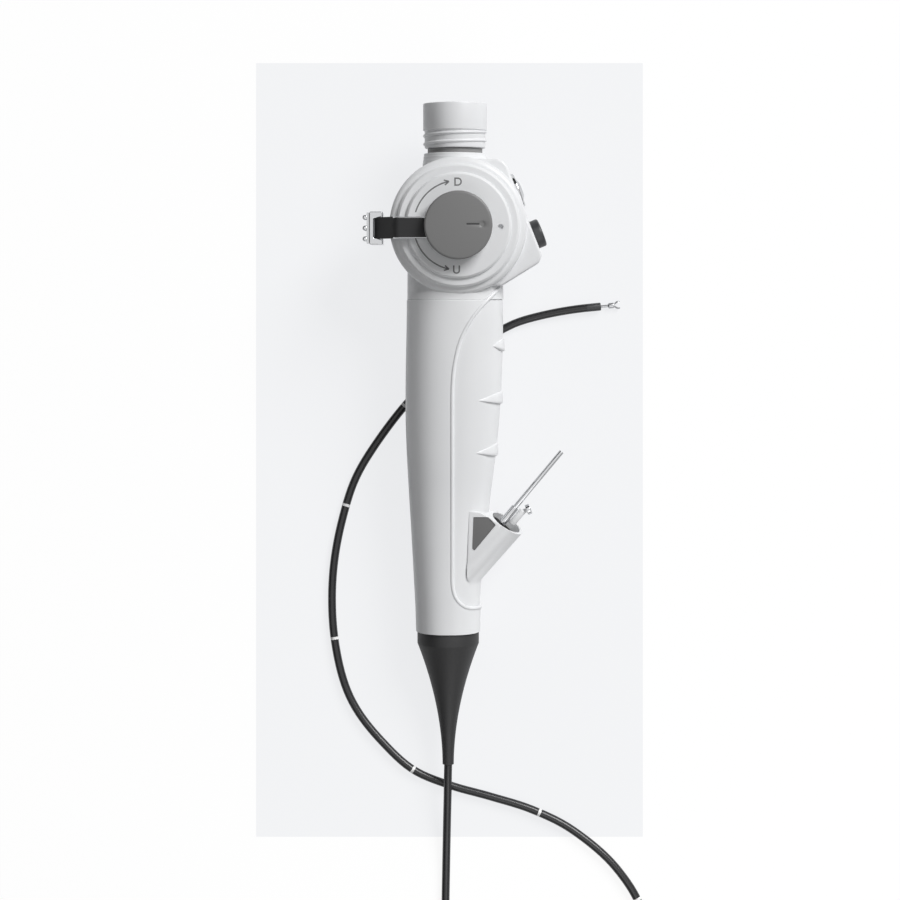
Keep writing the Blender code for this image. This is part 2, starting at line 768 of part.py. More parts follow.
def make_dial():
    bottom = HEAD_NEAR + GAP
    top = HEAD_NEAR + BEZEL_HEIGHT
    bore = DIAL_RADIUS + GAP
    turned(
        "dial_bezel",
        [
            (bore, top),
            (BEZEL_RADIUS - 0.5 * MM, top),
            (BEZEL_RADIUS, top - 0.5 * MM),
            (BEZEL_RADIUS, bottom),
            (bore, bottom),
        ],
        HANDLE,
        (WHITE, 0.35),
        sides=48,
        ring=True,
    )
    face = HEAD_NEAR + DIAL_HEIGHT
    hole = LEVER_BOSS_RADIUS + 0.5 * MM
    dial = turned(
        "dial_plate",
        [
            (hole, face),
            (DIAL_RADIUS - 0.4 * MM, face),
            (DIAL_RADIUS, face - 0.4 * MM),
            (DIAL_RADIUS, bottom),
            (hole, bottom),
        ],
        HANDLE,
        (WHITE, 0.4),
        sides=48,
        ring=True,
    )
    dimple = rod(
        "index_dimple", 0.95 * MM, face - 0.5 * MM, face + 1 * MM, HANDLE, sides=16,
        centre=(15.2 * MM, -0.5 * MM),
    )
    cut(dial, dimple)


def make_lever():
    """The lever, its thumb pad, its axle and the wire drum: one body that turns together."""
    lever = rod("angulation_lever", LEVER_HUB_RADIUS, LEVER_LOW, LEVER_HIGH, LEVER, (BLACK, 0.3), sides=48)
    thick = LEVER_HIGH - LEVER_LOW
    end = PAD_INNER_X + GAP
    drop = (ARM_BEND_X - end) * 1.25
    side_view = [
        (0, LEVER_HIGH),
        (ARM_BEND_X, LEVER_HIGH),
        (end, LEVER_HIGH - drop),
        (end, LEVER_HIGH - drop - thick * 1.6),
        (ARM_BEND_X + 0.7 * MM, LEVER_LOW),
        (0, LEVER_LOW),
    ]
    sideways = empty("lever_arm_frame", LEVER, (0, ARM_CENTRE_Y, 0), (math.pi / 2, 0, 0))
    arm = slab("lever_arm", side_view, -ARM_WIDTH / 2, ARM_WIDTH / 2, sideways, edge=0.3 * MM)
    boss = rod(
        "lever_boss", LEVER_BOSS_RADIUS, HEAD_NEAR + DIAL_HEIGHT - 3.2 * MM, LEVER_LOW + 0.5 * MM, LEVER,
        sides=32,
    )
    socket = rod(
        "lever_socket", AXLE_RADIUS + FINE_GAP, HEAD_NEAR, LEVER_HIGH - 1.0 * MM, LEVER, sides=24
    )
    join(lever, arm, boss)
    cut(lever, socket)
    turned(
        "lever_axle",
        [
            (0, LEVER_HIGH - 1.0 * MM - GAP),
            (AXLE_RADIUS - 0.3 * MM, LEVER_HIGH - 1.0 * MM - GAP),
            (AXLE_RADIUS, LEVER_HIGH - 1.6 * MM),
            (AXLE_RADIUS, -FOOT_DEPTH + 2.8 * MM),
            (AXLE_RADIUS - 0.3 * MM, -FOOT_DEPTH + 2.5 * MM),
            (0, -FOOT_DEPTH + 2.5 * MM),
        ],
        LEVER,
        (STEEL, 0.25, 1.0),
        sides=24,
    )
    pad_outline = [
        (PAD_OUTER_X, PAD_BOTTOM),
        (PAD_LIP_X, PAD_BOTTOM),
        (PAD_LIP_X, PAD_BOTTOM + PAD_LIP),
        (PAD_INNER_X, PAD_BOTTOM + PAD_LIP),
        (PAD_INNER_X, PAD_TOP - PAD_LIP),
        (PAD_LIP_X, PAD_TOP - PAD_LIP),
        (PAD_LIP_X, PAD_TOP),
        (PAD_OUTER_X, PAD_TOP),
    ]
    slab("thumb_plate", pad_outline, PAD_LOW, PAD_HIGH, LEVER, (STEEL, 0.12, 1.0), edge=0.35 * MM)
    back = PAD_OUTER_X - GAP
    front = back - 0.6 * MM
    crest = front - RIB_HEIGHT
    middle = (PAD_TOP + PAD_BOTTOM) / 2
    pitch = (PAD_TOP - PAD_BOTTOM) / 3 - 0.1 * MM
    ribbed = [(back, PAD_BOTTOM + 0.4 * MM)]
    ribbed.append((front, PAD_BOTTOM + 0.4 * MM))
    for k in (-1, 0, 1):
        at = middle + k * pitch
        ribbed += [
            (front, at - RIB_WIDTH / 2),
            (crest, at - RIB_WIDTH / 2 + 0.2 * MM),
            (crest, at + RIB_WIDTH / 2 - 0.2 * MM),
            (front, at + RIB_WIDTH / 2),
        ]
    ribbed += [(front, PAD_TOP - 0.4 * MM), (back, PAD_TOP - 0.4 * MM)]
    slab("thumb_grip", ribbed, PAD_LOW + 0.5 * MM, PAD_HIGH - 0.5 * MM, LEVER, (STEEL, 0.2, 1.0))
    groove = DRUM_RADIUS - 1.1 * MM
    profile = [(AXLE_RADIUS + FINE_GAP, DRUM_HALF), (DRUM_RADIUS, DRUM_HALF)]
    for level in (WIRE_LEVEL, -WIRE_LEVEL):
        profile += [
            (DRUM_RADIUS, level + 0.9 * MM),
            (groove, level + 0.6 * MM),
            (groove, level - 0.6 * MM),
            (DRUM_RADIUS, level - 0.9 * MM),
        ]
    profile += [(DRUM_RADIUS, -DRUM_HALF), (AXLE_RADIUS + FINE_GAP, -DRUM_HALF)]
    turned("wire_drum", profile, LEVER, (DARK_GREY, 0.4), sides=24, ring=True)


def make_bushes():
    for name, high, low in (
        ("near_axle_bush", HEAD_NEAR - GAP, HEAD_NEAR - HEAD_WALL),
        ("far_axle_bush", -FOOT_DEPTH + 6.0 * MM, -FOOT_DEPTH + 2.5 * MM),
    ):
        outer = AXLE_RADIUS + 2.6 * MM - GAP
        turned(
            name,
            [
                (AXLE_RADIUS + FINE_GAP, high),
                (outer, high),
                (outer, low),
                (AXLE_RADIUS + FINE_GAP, low),
            ],
            HANDLE,
            ("#B08D57", 0.35, 1.0),
            sides=20,
            ring=True,
        )


def make_lock_knob():
    bottom = LEVER_HIGH + GAP
    top = bottom + KNOB_HEIGHT
    turned(
        "lock_knob",
        [
            (0, top),
            (KNOB_RADIUS - 0.5 * MM, top),
            (KNOB_RADIUS, top - 0.5 * MM),
            (KNOB_RADIUS, bottom),
            (0, bottom),
        ],
        HANDLE,
        (MID_GREY, 0.45),
        sides=48,
    )


def make_screws():
    flange = -HEAD_FAR - GAP - COVER_FLANGE
    for k in range(3):
        x, y = screw_place(k)
        turned(
            f"cover_screw_{k + 1}",
            [
                (0, flange + SCREW_LENGTH),
                (SCREW_SHANK_RADIUS, flange + SCREW_LENGTH),
                (SCREW_SHANK_RADIUS, flange - GAP),
                (SCREW_HEAD_RADIUS, flange - GAP),
                (SCREW_HEAD_RADIUS, flange - GAP - 0.7 * MM),
                (SCREW_HEAD_RADIUS - 0.4 * MM, flange - GAP - 1.0 * MM),
                (0, flange - GAP - 1.0 * MM),
            ],
            HANDLE,
            (STEEL, 0.3, 1.0),
            sides=16,
            location=(x, y, 0),
        )


def make_wires():
    """The two pull wires from the drum, their guide block and the sheaths down to the strain relief."""
    guide_bottom = GUIDE_TOP - GUIDE_LENGTH
    guide = box(
        "wire_guide",
        (-BEYOND_GRIP, guide_bottom, -WIRE_LEVEL - GUIDE_DEPTH),
        (BEYOND_GRIP, GUIDE_TOP, WIRE_LEVEL + GUIDE_DEPTH),
        HANDLE,
        (DARK_GREY, 0.5),
    )
    keep_inside(guide, cavity_fit)
    lengthwise = empty("wire_hole_frame", HANDLE, (0, 0, 0), (-math.pi / 2, 0, 0))
    for name, x, level, tail in (
        ("up", WIRE_ARM, WIRE_LEVEL, 2.6 * MM),
        ("down", -WIRE_ARM, -WIRE_LEVEL, -2.6 * MM),
    ):
        hole = rod(
            f"wire_hole_{name}", WIRE_RADIUS + 0.3 * MM, guide_bottom - 2 * MM, GUIDE_TOP + 2 * MM,
            lengthwise, sides=12, centre=(x, -level),
        )
        cut(guide, hole)
        wire(
            f"pull_wire_{name}",
            [(x, -4.8 * MM, level), (x, -20 * MM, level), (x, -34.6 * MM, level)],
            WIRE_RADIUS,
            HANDLE,
            (STEEL, 0.2, 1.0),
            sides=1,
        )
        route, _ = smooth_path(
            [
                (x, guide_bottom - GAP, level),
                (x, guide_bottom - 12 * MM, level),
                (x * 0.8 + TAIL_X * 0.2, -75 * MM, level),
                (TAIL_X + tail * 1.4, -115 * MM, level),
                (TAIL_X + tail, -135 * MM, level),
                (TAIL_X + tail, GRIP_END + SPIGOT_LENGTH + RETAINER_LENGTH + 3 * GAP, level),
            ],
            9 * MM,
        )
        wire(f"wire_sheath_{name}", route, 0.7 * MM, HANDLE, (STEEL, 0.3, 1.0), sides=1)


def make_connector():
    ridge = COLLAR_RADIUS + COLLAR_RIDGE
    profile = [
        (COLLAR_BORE, COLLAR_HIGH),
        (ridge - 0.4 * MM, COLLAR_HIGH),
        (ridge, COLLAR_HIGH - 0.4 * MM),
        (ridge, COLLAR_LOW + 0.3 * MM),
        (ridge - 0.3 * MM, COLLAR_LOW),
        (COLLAR_BORE, COLLAR_LOW),
    ]
    turned("connector_collar", profile, UPWARDS, (WHITE, 0.35), sides=36, ring=True)
    turned(
        "collar_seal_ring",
        [
            (NECK_RADIUS - 3.0 * MM, COLLAR_LOW - GAP),
            (GROOVE_RADIUS, COLLAR_LOW - GAP),
            (GROOVE_RADIUS, NECK_TOP + GAP),
            (NECK_RADIUS - 3.0 * MM, NECK_TOP + GAP),
        ],
        UPWARDS,
        ("#9A9A9A", 0.5),
        sides=40,
        ring=True,
    )
    floor = COLLAR_HIGH - SOCKET_DEPTH
    carrier = turned(
        "contact_carrier",
        [
            (0, floor),
            (COLLAR_BORE - GAP, floor),
            (COLLAR_BORE - GAP, COLLAR_LOW + 1 * MM),
            (0, COLLAR_LOW + 1 * MM),
        ],
        UPWARDS,
        (DARK_GREY, 0.5),
        sides=24,
    )
    board_top = COLLAR_LOW + 0.7 * MM
    board = rod(
        "contact_pins", NECK_RADIUS - 3.6 * MM, board_top - 1.2 * MM, board_top, UPWARDS, ("#C8A24A", 0.25, 1.0),
        sides=32,
    )
    for k in range(PIN_COUNT):
        angle = 2 * math.pi * (k + 0.37) / PIN_COUNT
        at = (PIN_CIRCLE * math.cos(angle), PIN_CIRCLE * math.sin(angle))
        pin = rod(f"pin_{k + 1}", PIN_RADIUS, board_top - 0.5 * MM, floor + PIN_HEIGHT, UPWARDS, sides=8, centre=at)
        hole = rod(
            f"pin_hole_{k + 1}", PIN_RADIUS + FINE_GAP, COLLAR_LOW - 1 * MM, COLLAR_HIGH, UPWARDS,
            sides=8, centre=at,
        )
        join(board, pin)
        cut(carrier, hole)


def make_grip():
    border = offset_path(PANEL_EDGE, GAP / 2)
    opening = slab("panel_opening", far_side_of_panel(border), -40 * MM, 40 * MM, HANDLE)
    shell = place("grip_shell", grip_outside.data.copy(), HANDLE, (WHITE, 0.35))
    cut(shell, grip_cavity, opening)

    inner_border = offset_path(PANEL_EDGE, -GAP / 2)
    region = slab("panel_region", far_side_of_panel(inner_border), -40 * MM, 40 * MM, HANDLE)
    form = grip_form("panel_form", PANEL_INSET, top=SEAM_HEIGHT - GAP / 2, bottom=GRIP_END + 5 * MM)
    panel = place("finger_panel", form.data.copy(), HANDLE, (WHITE, 0.35))
    keep_inside(panel, region)
    rise = grip_form(
        "rib_form", PANEL_INSET - FINGER_RIB_RISE, top=SEAM_HEIGHT - 4 * MM, bottom=GRIP_END + 20 * MM
    )
    for k, (tip, high, low) in enumerate(FINGER_RIBS):
        wide = max(tip[0] + FINGER_RIB_WIDE, FINGER_RIB_SIDE)
        outline = [tip, (wide, low), (BEYOND_GRIP, low), (BEYOND_GRIP, high), (wide, high)]
        rib = slab(f"finger_rib_{k + 1}", outline, -14.5 * MM, 14.5 * MM, HANDLE)
        keep_inside(rib, rise)
        join(panel, rib)
    return panel


def make_port(panel):
    """The slanted port of the working channel, its web and what sits in them."""
    at = (*PORT_MOUTH, 0)
    along = empty("port_axis_frame", HANDLE, at, (0, math.pi / 2, PORT_ANGLE))
    barrel = place_oval("port_barrel", PORT_HALF_WIDTH, PORT_HALF_DEPTH, -34 * MM, 8 * MM, along)
    trim_outline = rounded(
        [
            (PORT_LEFT, -90 * MM, 0),
            (PORT_LEFT, PORT_BOTTOM, PORT_FOOT_RADIUS),
            (50 * MM, PORT_BOTTOM, 0),
            (50 * MM, -90 * MM, 0),
        ]
    )
    trim = slab("port_trim", trim_outline, -30 * MM, 30 * MM, HANDLE)
    keep_inside(barrel, trim)
    web_outline = [
        (PORT_LEFT + 0.5 * MM, WEB_TOP),
        (PORT_LEFT, -124.5 * MM),
        (6.0 * MM, -124.5 * MM),
        (14.5 * MM, -113.0 * MM),
        (15.5 * MM, -108.0 * MM),
        (11.4 * MM, WEB_TOP - 1.0 * MM),
    ]
    web = slab("port_web", web_outline, -WEB_HALF_DEPTH, WEB_HALF_DEPTH, HANDLE, edge=WEB_EDGE)
    mouth_frame = empty(
        "port_mouth_frame", HANDLE, at, (0, math.pi / 2 - MOUTH_LEAN, PORT_ANGLE + MOUTH_TURN)
    )
    beyond_mouth = box("beyond_mouth", (-40 * MM, -40 * MM, 0), (40 * MM, 40 * MM, 40 * MM), mouth_frame)
    bore = place_oval(
        "port_bore", PORT_HALF_WIDTH - PORT_WALL, PORT_HALF_DEPTH - PORT_WALL, -PORT_BORE_DEPTH, 20 * MM, along
    )
    for solid in (barrel, web):
        cut(solid, beyond_mouth)
    join(panel, barrel, web)
    cut(panel, bore, grip_cavity)
    for side, name in ((1, "near"), (-1, "far")):
        low, high = sorted((side * (WEB_HALF_DEPTH - WINDOW_DEPTH), side * (WEB_HALF_DEPTH + 3 * MM)))
        pocket = slab(f"{name}_window", WINDOW, low, high, HANDLE)
        cut(panel, pocket)
    return along, mouth_frame


def place_oval(name, half_width, half_depth, low, high, parent, look=None, sides=40):
    """A bar of oval section along the parent's Z. The parent's X is the handle's depth."""
    return rod(name, half_depth, low, high, parent, look, sides, flatten=half_width / half_depth)


def make_port_insides(along):
    inset = PORT_WALL + GAP
    liner = place_oval(
        "port_liner", PORT_HALF_WIDTH - inset, PORT_HALF_DEPTH - inset, -PORT_BORE_DEPTH + 1.5 * MM, -3.2 * MM,
        along, (DARK_GREY, 0.5),
    )
    inner = inset + LINER_WALL
    hollow = place_oval(
        "liner_hollow", PORT_HALF_WIDTH - inner, PORT_HALF_DEPTH - inner, LINER_FLOOR, 5 * MM,
        along,
    )
    channel = rod("liner_channel", 1.2 * MM, -30 * MM, 5 * MM, along, sides=16)
    cut(liner, hollow, channel, grip_cavity)
    seal = place_oval(
        "port_seal", PORT_HALF_WIDTH - inner - GAP, PORT_HALF_DEPTH - inner - GAP,
        -SEAL_DEPTH - SEAL_THICKNESS + GAP, -SEAL_DEPTH, along, (BLACK, 0.7),
    )
    return seal


def make_window_inlays():
    """The grey plates in the near and the far window of the web."""
    middle = Vector((sum(x for x, _ in WINDOW), sum(y for _, y in WINDOW))) / len(WINDOW)
    outline = []
    for x, y in WINDOW:
        towards = middle - Vector((x, y))
        moved = Vector((x, y)) + towards.normalized() * GAP
        outline.append(tuple(moved))
    for side, name in ((1, "near"), (-1, "far")):
        low, high = sorted(
            (side * (WEB_HALF_DEPTH - WINDOW_DEPTH + GAP), side * (WEB_HALF_DEPTH - 0.25 * MM))
        )
        slab(f"{name}_window_inlay", outline, low, high, HANDLE, (DARK_GREY, 0.45))


def make_instrument(seal):
    """The rigid end of the forceps in the port: sleeve, tube, side port and clamp knob."""
    axis = empty(
        "instrument_frame", HANDLE, (*INSTRUMENT_AT, 0), (0, math.pi / 2, INSTRUMENT_ANGLE)
    )
    sleeve = rod("instrument_sleeve", SLEEVE_RADIUS, SLEEVE_LOW, SLEEVE_TOP, axis, (STEEL, 0.15, 1.0), sides=20)
    bore = rod("sleeve_bore", SHAFT_RADIUS + FINE_GAP, -20 * MM, SLEEVE_TOP + 5 * MM, axis, sides=16)
    cut(sleeve, bore)
    rod(
        "instrument_tube", SHAFT_RADIUS, SLEEVE_TOP - 5 * MM + GAP, SHAFT_TOP, axis, (STEEL, 0.12, 1.0), sides=16
    )
    seal_hole = rod("seal_hole", SLEEVE_RADIUS + FINE_GAP, -30 * MM, 10 * MM, axis, sides=20)
    cut(seal, seal_hole)
    side = rod(
        "side_port", SIDE_PORT_RADIUS, SIDE_PORT_LOW, SIDE_PORT_TOP, axis, (WHITE, 0.2), sides=16,
        centre=(0, -SIDE_PORT_OFFSET),
    )
    across = Vector((math.sin(INSTRUMENT_ANGLE), -math.cos(INSTRUMENT_ANGLE)))
    ahead = Vector((math.cos(INSTRUMENT_ANGLE), math.sin(INSTRUMENT_ANGLE)))
    start = Vector(INSTRUMENT_AT) + across * SIDE_PORT_OFFSET + ahead * (SIDE_PORT_TOP - 0.9 * MM)
    stem_frame = empty(
        "clamp_knob_frame", HANDLE, (start.x, start.y, 0), (0, math.pi / 2, KNOB_STEM_ANGLE)
    )
    stem = rod("clamp_stem", 0.8 * MM, 0, KNOB_STEM_LENGTH, stem_frame, sides=12)
    join(side, stem)
    low = KNOB_STEM_LENGTH + GAP
    high = low + CLAMP_KNOB_LENGTH
    turned(
        "clamp_knob",
        [
            (0, high - 0.5 * MM),
            (CLAMP_KNOB_RADIUS * 0.5, high - 0.5 * MM),
            (CLAMP_KNOB_RADIUS * 0.6, high),
            (CLAMP_KNOB_RADIUS - 0.3 * MM, high),
            (CLAMP_KNOB_RADIUS, high - 0.3 * MM),
            (CLAMP_KNOB_RADIUS, low + 0.2 * MM),
            (CLAMP_KNOB_RADIUS - 0.2 * MM, low),
            (0, low),
        ],
        stem_frame,
        (BLACK, 0.3),
        sides=16,
    )


def make_buttons():
    under = -0.9 * MM
    dome = SUCTION_PROUD
    turned(
        "suction_button",
        [
            (0, dome),
            (SUCTION_RADIUS * 0.6, dome - 0.2 * MM),
            (SUCTION_RADIUS - 0.9 * MM, dome - 0.5 * MM),
            (SUCTION_RADIUS - 0.25 * MM, dome - 0.9 * MM),
            (SUCTION_RADIUS, dome - 1.5 * MM),
            (SUCTION_RADIUS, under),
            (0, under),
        ],
        LOWER_BUTTON,
        (BLACK, 0.5),
        sides=40,
    )
    rod("suction_valve_stem", 1.4 * MM, -VALVE_DEPTH + 5.0 * MM, under - GAP, LOWER_BUTTON, (STEEL, 0.3, 1.0), sides=16)
    rim_top = -BLOCK_WALL - GAP
    shelf = under - SUCTION_TRAVEL - GAP
    valve_bore = VALVE_RADIUS - 1.0 * MM
    turned(
        "suction_valve_body",
        [
            (0, -VALVE_DEPTH + 2.0 * MM),
            (valve_bore, -VALVE_DEPTH + 2.0 * MM),
            (valve_bore, shelf),
            (SUCTION_RADIUS + GAP, shelf),
            (SUCTION_RADIUS + GAP, rim_top),
            (SUCTION_RADIUS + 2.0 * MM, rim_top),
            (SUCTION_RADIUS + 2.0 * MM, shelf - 1.4 * MM),
            (VALVE_RADIUS, shelf - 1.4 * MM),
            (VALVE_RADIUS, -VALVE_DEPTH),
            (0, -VALVE_DEPTH),
        ],
        LOWER_BUTTON,
        (DARK_GREY, 0.5),
        sides=24,
    )
    floor = -VALVE_DEPTH + 2.0 * MM
    spring_radius = 0.28 * MM
    coil = 2.5 * MM
    turns, per_turn = 3.5, 12
    start = floor + spring_radius + FINE_GAP
    rise = shelf - spring_radius - start
    points = []
    for k in range(int(turns * per_turn) + 1):
        angle = 2 * math.pi * k / per_turn
        share = k / (turns * per_turn)
        points.append((coil * math.cos(angle), coil * math.sin(angle), start + rise * share))
    wire("suction_button_spring", points, spring_radius, LOWER_BUTTON, (STEEL, 0.25, 1.0), sides=1)

    turned(
        "function_bezel",
        [
            (FUNCTION_RADIUS + GAP, 0.9 * MM),
            (FUNCTION_BEZEL_RADIUS - 0.6 * MM, 0.9 * MM),
            (FUNCTION_BEZEL_RADIUS, GAP + 0.1 * MM),
            (FUNCTION_BEZEL_RADIUS, GAP),
            (FUNCTION_RADIUS + 0.9 * MM, GAP),
            (FUNCTION_RADIUS + 0.9 * MM, -BLOCK_WALL),
            (FUNCTION_RADIUS + GAP, -BLOCK_WALL),
        ],
        UPPER_BUTTON,
        (STEEL, 0.12, 1.0),
        sides=28,
        ring=True,
    )
    turned(
        "function_button",
        [
            (0, FUNCTION_PROUD),
            (FUNCTION_RADIUS * 0.6, FUNCTION_PROUD - 0.15 * MM),
            (FUNCTION_RADIUS - 0.5 * MM, FUNCTION_PROUD - 0.4 * MM),
            (FUNCTION_RADIUS, FUNCTION_PROUD - 0.9 * MM),
            (FUNCTION_RADIUS, -1.6 * MM),
            (0, -1.6 * MM),
        ],
        UPPER_BUTTON,
        (WHITE, 0.2),
        sides=36,
    )
    switch_top = -1.6 * MM - FUNCTION_TRAVEL - FINE_GAP
    turned(
        "function_switch",
        [
            (0, switch_top),
            (2.0 * MM, switch_top),
            (2.0 * MM, switch_top - 0.6 * MM),
            (FUNCTION_RADIUS + 0.6 * MM, switch_top - 0.6 * MM),
            (FUNCTION_RADIUS + 0.6 * MM, -BLOCK_WALL - GAP),
            (FUNCTION_RADIUS + 2.2 * MM, -BLOCK_WALL - GAP),
            (FUNCTION_RADIUS + 2.2 * MM, switch_top - 2.4 * MM),
            (0, switch_top - 2.4 * MM),
        ],
        UPPER_BUTTON,
        (DARK_GREY, 0.5),
        sides=20,
    )


def make_grip_insides():
    board = box(
        "control_board",
        (-BEYOND_GRIP, BOARD_TOP - BOARD_LENGTH, BOARD_LEVEL - BOARD_THICKNESS),
        (BEYOND_GRIP, BOARD_TOP, BOARD_LEVEL),
        HANDLE,
        ("#1F5C3A", 0.5),
    )
    keep_inside(board, cavity_fit)
    along = Vector((math.cos(PORT_ANGLE), math.sin(PORT_ANGLE)))
    start = Vector(PORT_MOUTH) - along * (PORT_BORE_DEPTH + 1.5 * MM)
    end = GRIP_END + SPIGOT_LENGTH + RETAINER_LENGTH + 3 * GAP
    route, _ = smooth_path(
        [
            (start.x, start.y, 0),
            (start.x - along.x * 5 * MM, start.y - along.y * 5 * MM, 0),
            (TAIL_X + 1.0 * MM, -131.5 * MM, 0),
            (TAIL_X, -137.0 * MM, 0),
            (TAIL_X, end, 0),
        ],
        3.5 * MM,
    )
    wire("channel_tube", route, 1.0 * MM, HANDLE, (WHITE, 0.4))


def boot_radius(share):
    return BOOT_END_RADIUS + (BOOT_RADIUS - BOOT_END_RADIUS) * (1 - share) ** BOOT_TAPER


def make_strain_relief():
    top = GRIP_END - GAP
    spigot = GRIP_END_RADIUS - GRIP_WALL - GAP
    profile = [
        (0, top + SPIGOT_LENGTH),
        (spigot, top + SPIGOT_LENGTH),
        (spigot, top),
        (BOOT_RADIUS, top),
    ]
    steps = 10
    straight = top - BOOT_BAND
    length = BOOT_LENGTH - BOOT_BAND
    for k in range(steps + 1):
        share = k / steps
        profile.append((boot_radius(share), straight - length * share))
    profile.append((0, straight - length))
    turned("strain_relief", profile, TAILWARDS, ("#333335", 0.6), sides=28)
    low = top + SPIGOT_LENGTH + GAP
    turned(
        "strain_relief_retainer",
        [
            (0, low + RETAINER_LENGTH),
            (spigot, low + RETAINER_LENGTH),
            (spigot, low),
            (0, low),
        ],
        TAILWARDS,
        (DARK_GREY, 0.5),
        sides=20,
    )


def make_insertion_tube():
    """The tube from the strain relief to the bending section, along its route on the table."""
    end = Vector((TAIL_X, GRIP_END - GAP - BOOT_LENGTH - GAP, 0))
    tilted = Matrix.Rotation(TILT, 3, "X") @ end
    start = Vector((tilted.x, tilted.y, tilted.z + AXLE_HEIGHT))
    base = Vector((*BEND_BASE, TUBE_RADIUS))
    back = Vector((math.cos(BEND_HEADING), math.sin(BEND_HEADING), 0)) * (LINK_SOCKET - LINK_SHOULDER)
    knee = base - Vector((math.cos(BEND_HEADING), math.sin(BEND_HEADING), 0)) * 5 * MM
    route = [start] + [Vector(p) * MM for p in TUBE_ROUTE] + [knee, base - back * 1.2]
    points, length = smooth_path(route, TUBE_POINT_SPACING)
    for point in points:
        point.z = max(point.z, TUBE_RADIUS)
    wire("insertion_tube", points, TUBE_RADIUS, TABLE, (BLACK, 0.35))
    return length


def link_outline(front):
    """A bending link seen from above: a socket behind, a round lug in front, both ends cut back."""
    behind, side = [], LINK_RADIUS + 0.2 * MM
    half = math.asin(min(0.98, 0.62 * MM / LINK_SOCKET))
    for k in range(5):
        angle = half - 2 * half * k / 4
        behind.append((LINK_SOCKET * math.cos(angle), LINK_SOCKET * math.sin(angle)))
    mouth = behind[0][0]
    slope = LINK_BEVEL * (side - 0.62 * MM)
    outline = [(mouth + slope, side)] + behind + [(mouth + slope, -side)]
    if front is None:
        return outline + [(TIP_LENGTH + 2 * MM, -side), (TIP_LENGTH + 2 * MM, side)]
    shoulder = front - LINK_SHOULDER
    ahead = [(shoulder - slope, -side), (shoulder, -LINK_LUG)]
    for k in range(1, 5):
        angle = math.radians(-75 + 150 * k / 5)
        ahead.append((front + LINK_LUG * math.cos(angle), LINK_LUG * math.sin(angle)))
    ahead += [(shoulder, LINK_LUG), (shoulder - slope, side)]
    return outline + ahead


def make_bending_section():
    """Seven links and the tip, each turning about the middle of the joint behind it."""
    base = empty("bend_base", TABLE, (*BEND_BASE, TUBE_RADIUS), (0, 0, BEND_HEADING))
    flat = slab("link_form", link_outline(LINK_PITCH), -2 * MM, 2 * MM, base)
    wall = rod("link_wall", LINK_RADIUS, -3 * MM, LINK_PITCH + 3 * MM, None, sides=16)
    lumen = rod("link_lumen", LINK_BORE, -4 * MM, LINK_PITCH + 4 * MM, None, sides=12)
    for thing in (wall, lumen):
        thing.parent = base
        thing.rotation_euler = (0, math.pi / 2, 0)
    keep_inside(flat, wall)
    cut(flat, lumen)
    bpy.context.view_layer.update()
    link_mesh = bpy.data.meshes.new_from_object(
        flat.evaluated_get(bpy.context.evaluated_depsgraph_get())
    )
    link_mesh.materials.clear()
    link_mesh.materials.append(finish("bending_link_finish", STEEL, 0.25, 1.0))
    carrier = base
    offset = 0
    for k in range(LINK_COUNT):
        link = place(
            f"bending_link_{k + 1}", link_mesh, carrier, (STEEL, 0.25, 1.0), (offset, 0, 0),
            (0, 0, REST_CURL),
        )
        carrier, offset = link, LINK_PITCH
    tip = slab("distal_tip", link_outline(None), -2 * MM, 2 * MM, carrier, (BLACK, 0.4))
    tip.location = (LINK_PITCH, 0, 0)
    tip.rotation_euler = (0, 0, REST_CURL)
    crosswise = empty("tip_frame", tip, (0, 0, 0), (0, math.pi / 2, 0))
    body = rod("tip_body", LINK_RADIUS, -3 * MM, TIP_LENGTH, crosswise, sides=24)
    channel = rod(
        "tip_channel", CHANNEL_RADIUS, -5 * MM, TIP_LENGTH + 5 * MM, crosswise, sides=16,
        centre=(CHANNEL_DROP, 0),
    )
    lens_seat = rod(
        "lens_seat", LENS_RADIUS + FINE_GAP, TIP_LENGTH - 1.5 * MM, TIP_LENGTH + 2 * MM, crosswise, sides=16,
        centre=(-LENS_RISE, 0),
    )
    keep_inside(tip, body)
    cut(tip, channel, lens_seat)
    rod(
        "camera_lens", LENS_RADIUS, TIP_LENGTH - 1.5 * MM + FINE_GAP, TIP_LENGTH, crosswise, (BLACK, 0.05),
        sides=16, centre=(-LENS_RISE, 0),
    )
    return tip, crosswise


def make_forceps(tip, crosswise):
    """The forceps that comes out of the working channel: shaft with a forked hub, pin and two cups."""
    front = TIP_LENGTH + FORCEPS_REACH
    hub_end = front + FORCEPS_HUB_LENGTH
    pin_at = hub_end - 0.45 * MM
    drop = -CHANNEL_DROP
    shaft = rod(
        "forceps_shaft", FORCEPS_RADIUS, FORCEPS_BACK, front + 0.5 * MM, crosswise, (STEEL, 0.2, 1.0), sides=12,
        centre=(CHANNEL_DROP, 0),
    )
    hub = rod("forceps_hub", FORCEPS_HUB_RADIUS, front, hub_end, crosswise, sides=16, centre=(CHANNEL_DROP, 0))
    fork = box(
        "forceps_fork", (front + 0.9 * MM, -3 * MM, drop - 0.42 * MM), (hub_end + 2 * MM, 3 * MM, drop + 0.42 * MM), tip
    )
    join(shaft, hub)
    pin_frame = empty("jaw_pin_frame", tip, (pin_at, 0, drop))
    pin_hole = rod("pin_hole", JAW_PIN_RADIUS + FINE_GAP, -2 * MM, 2 * MM, pin_frame, sides=12)
    cut(shaft, fork, pin_hole)
    rod("jaw_pin", JAW_PIN_RADIUS, -0.85 * MM, 0.85 * MM, pin_frame, (STEEL, 0.2, 1.0), sides=12)
    for side, name, level in ((1, "upper_jaw", 0.19 * MM), (-1, "lower_jaw", -0.19 * MM)):
        make_jaw(name, side, level, pin_frame)


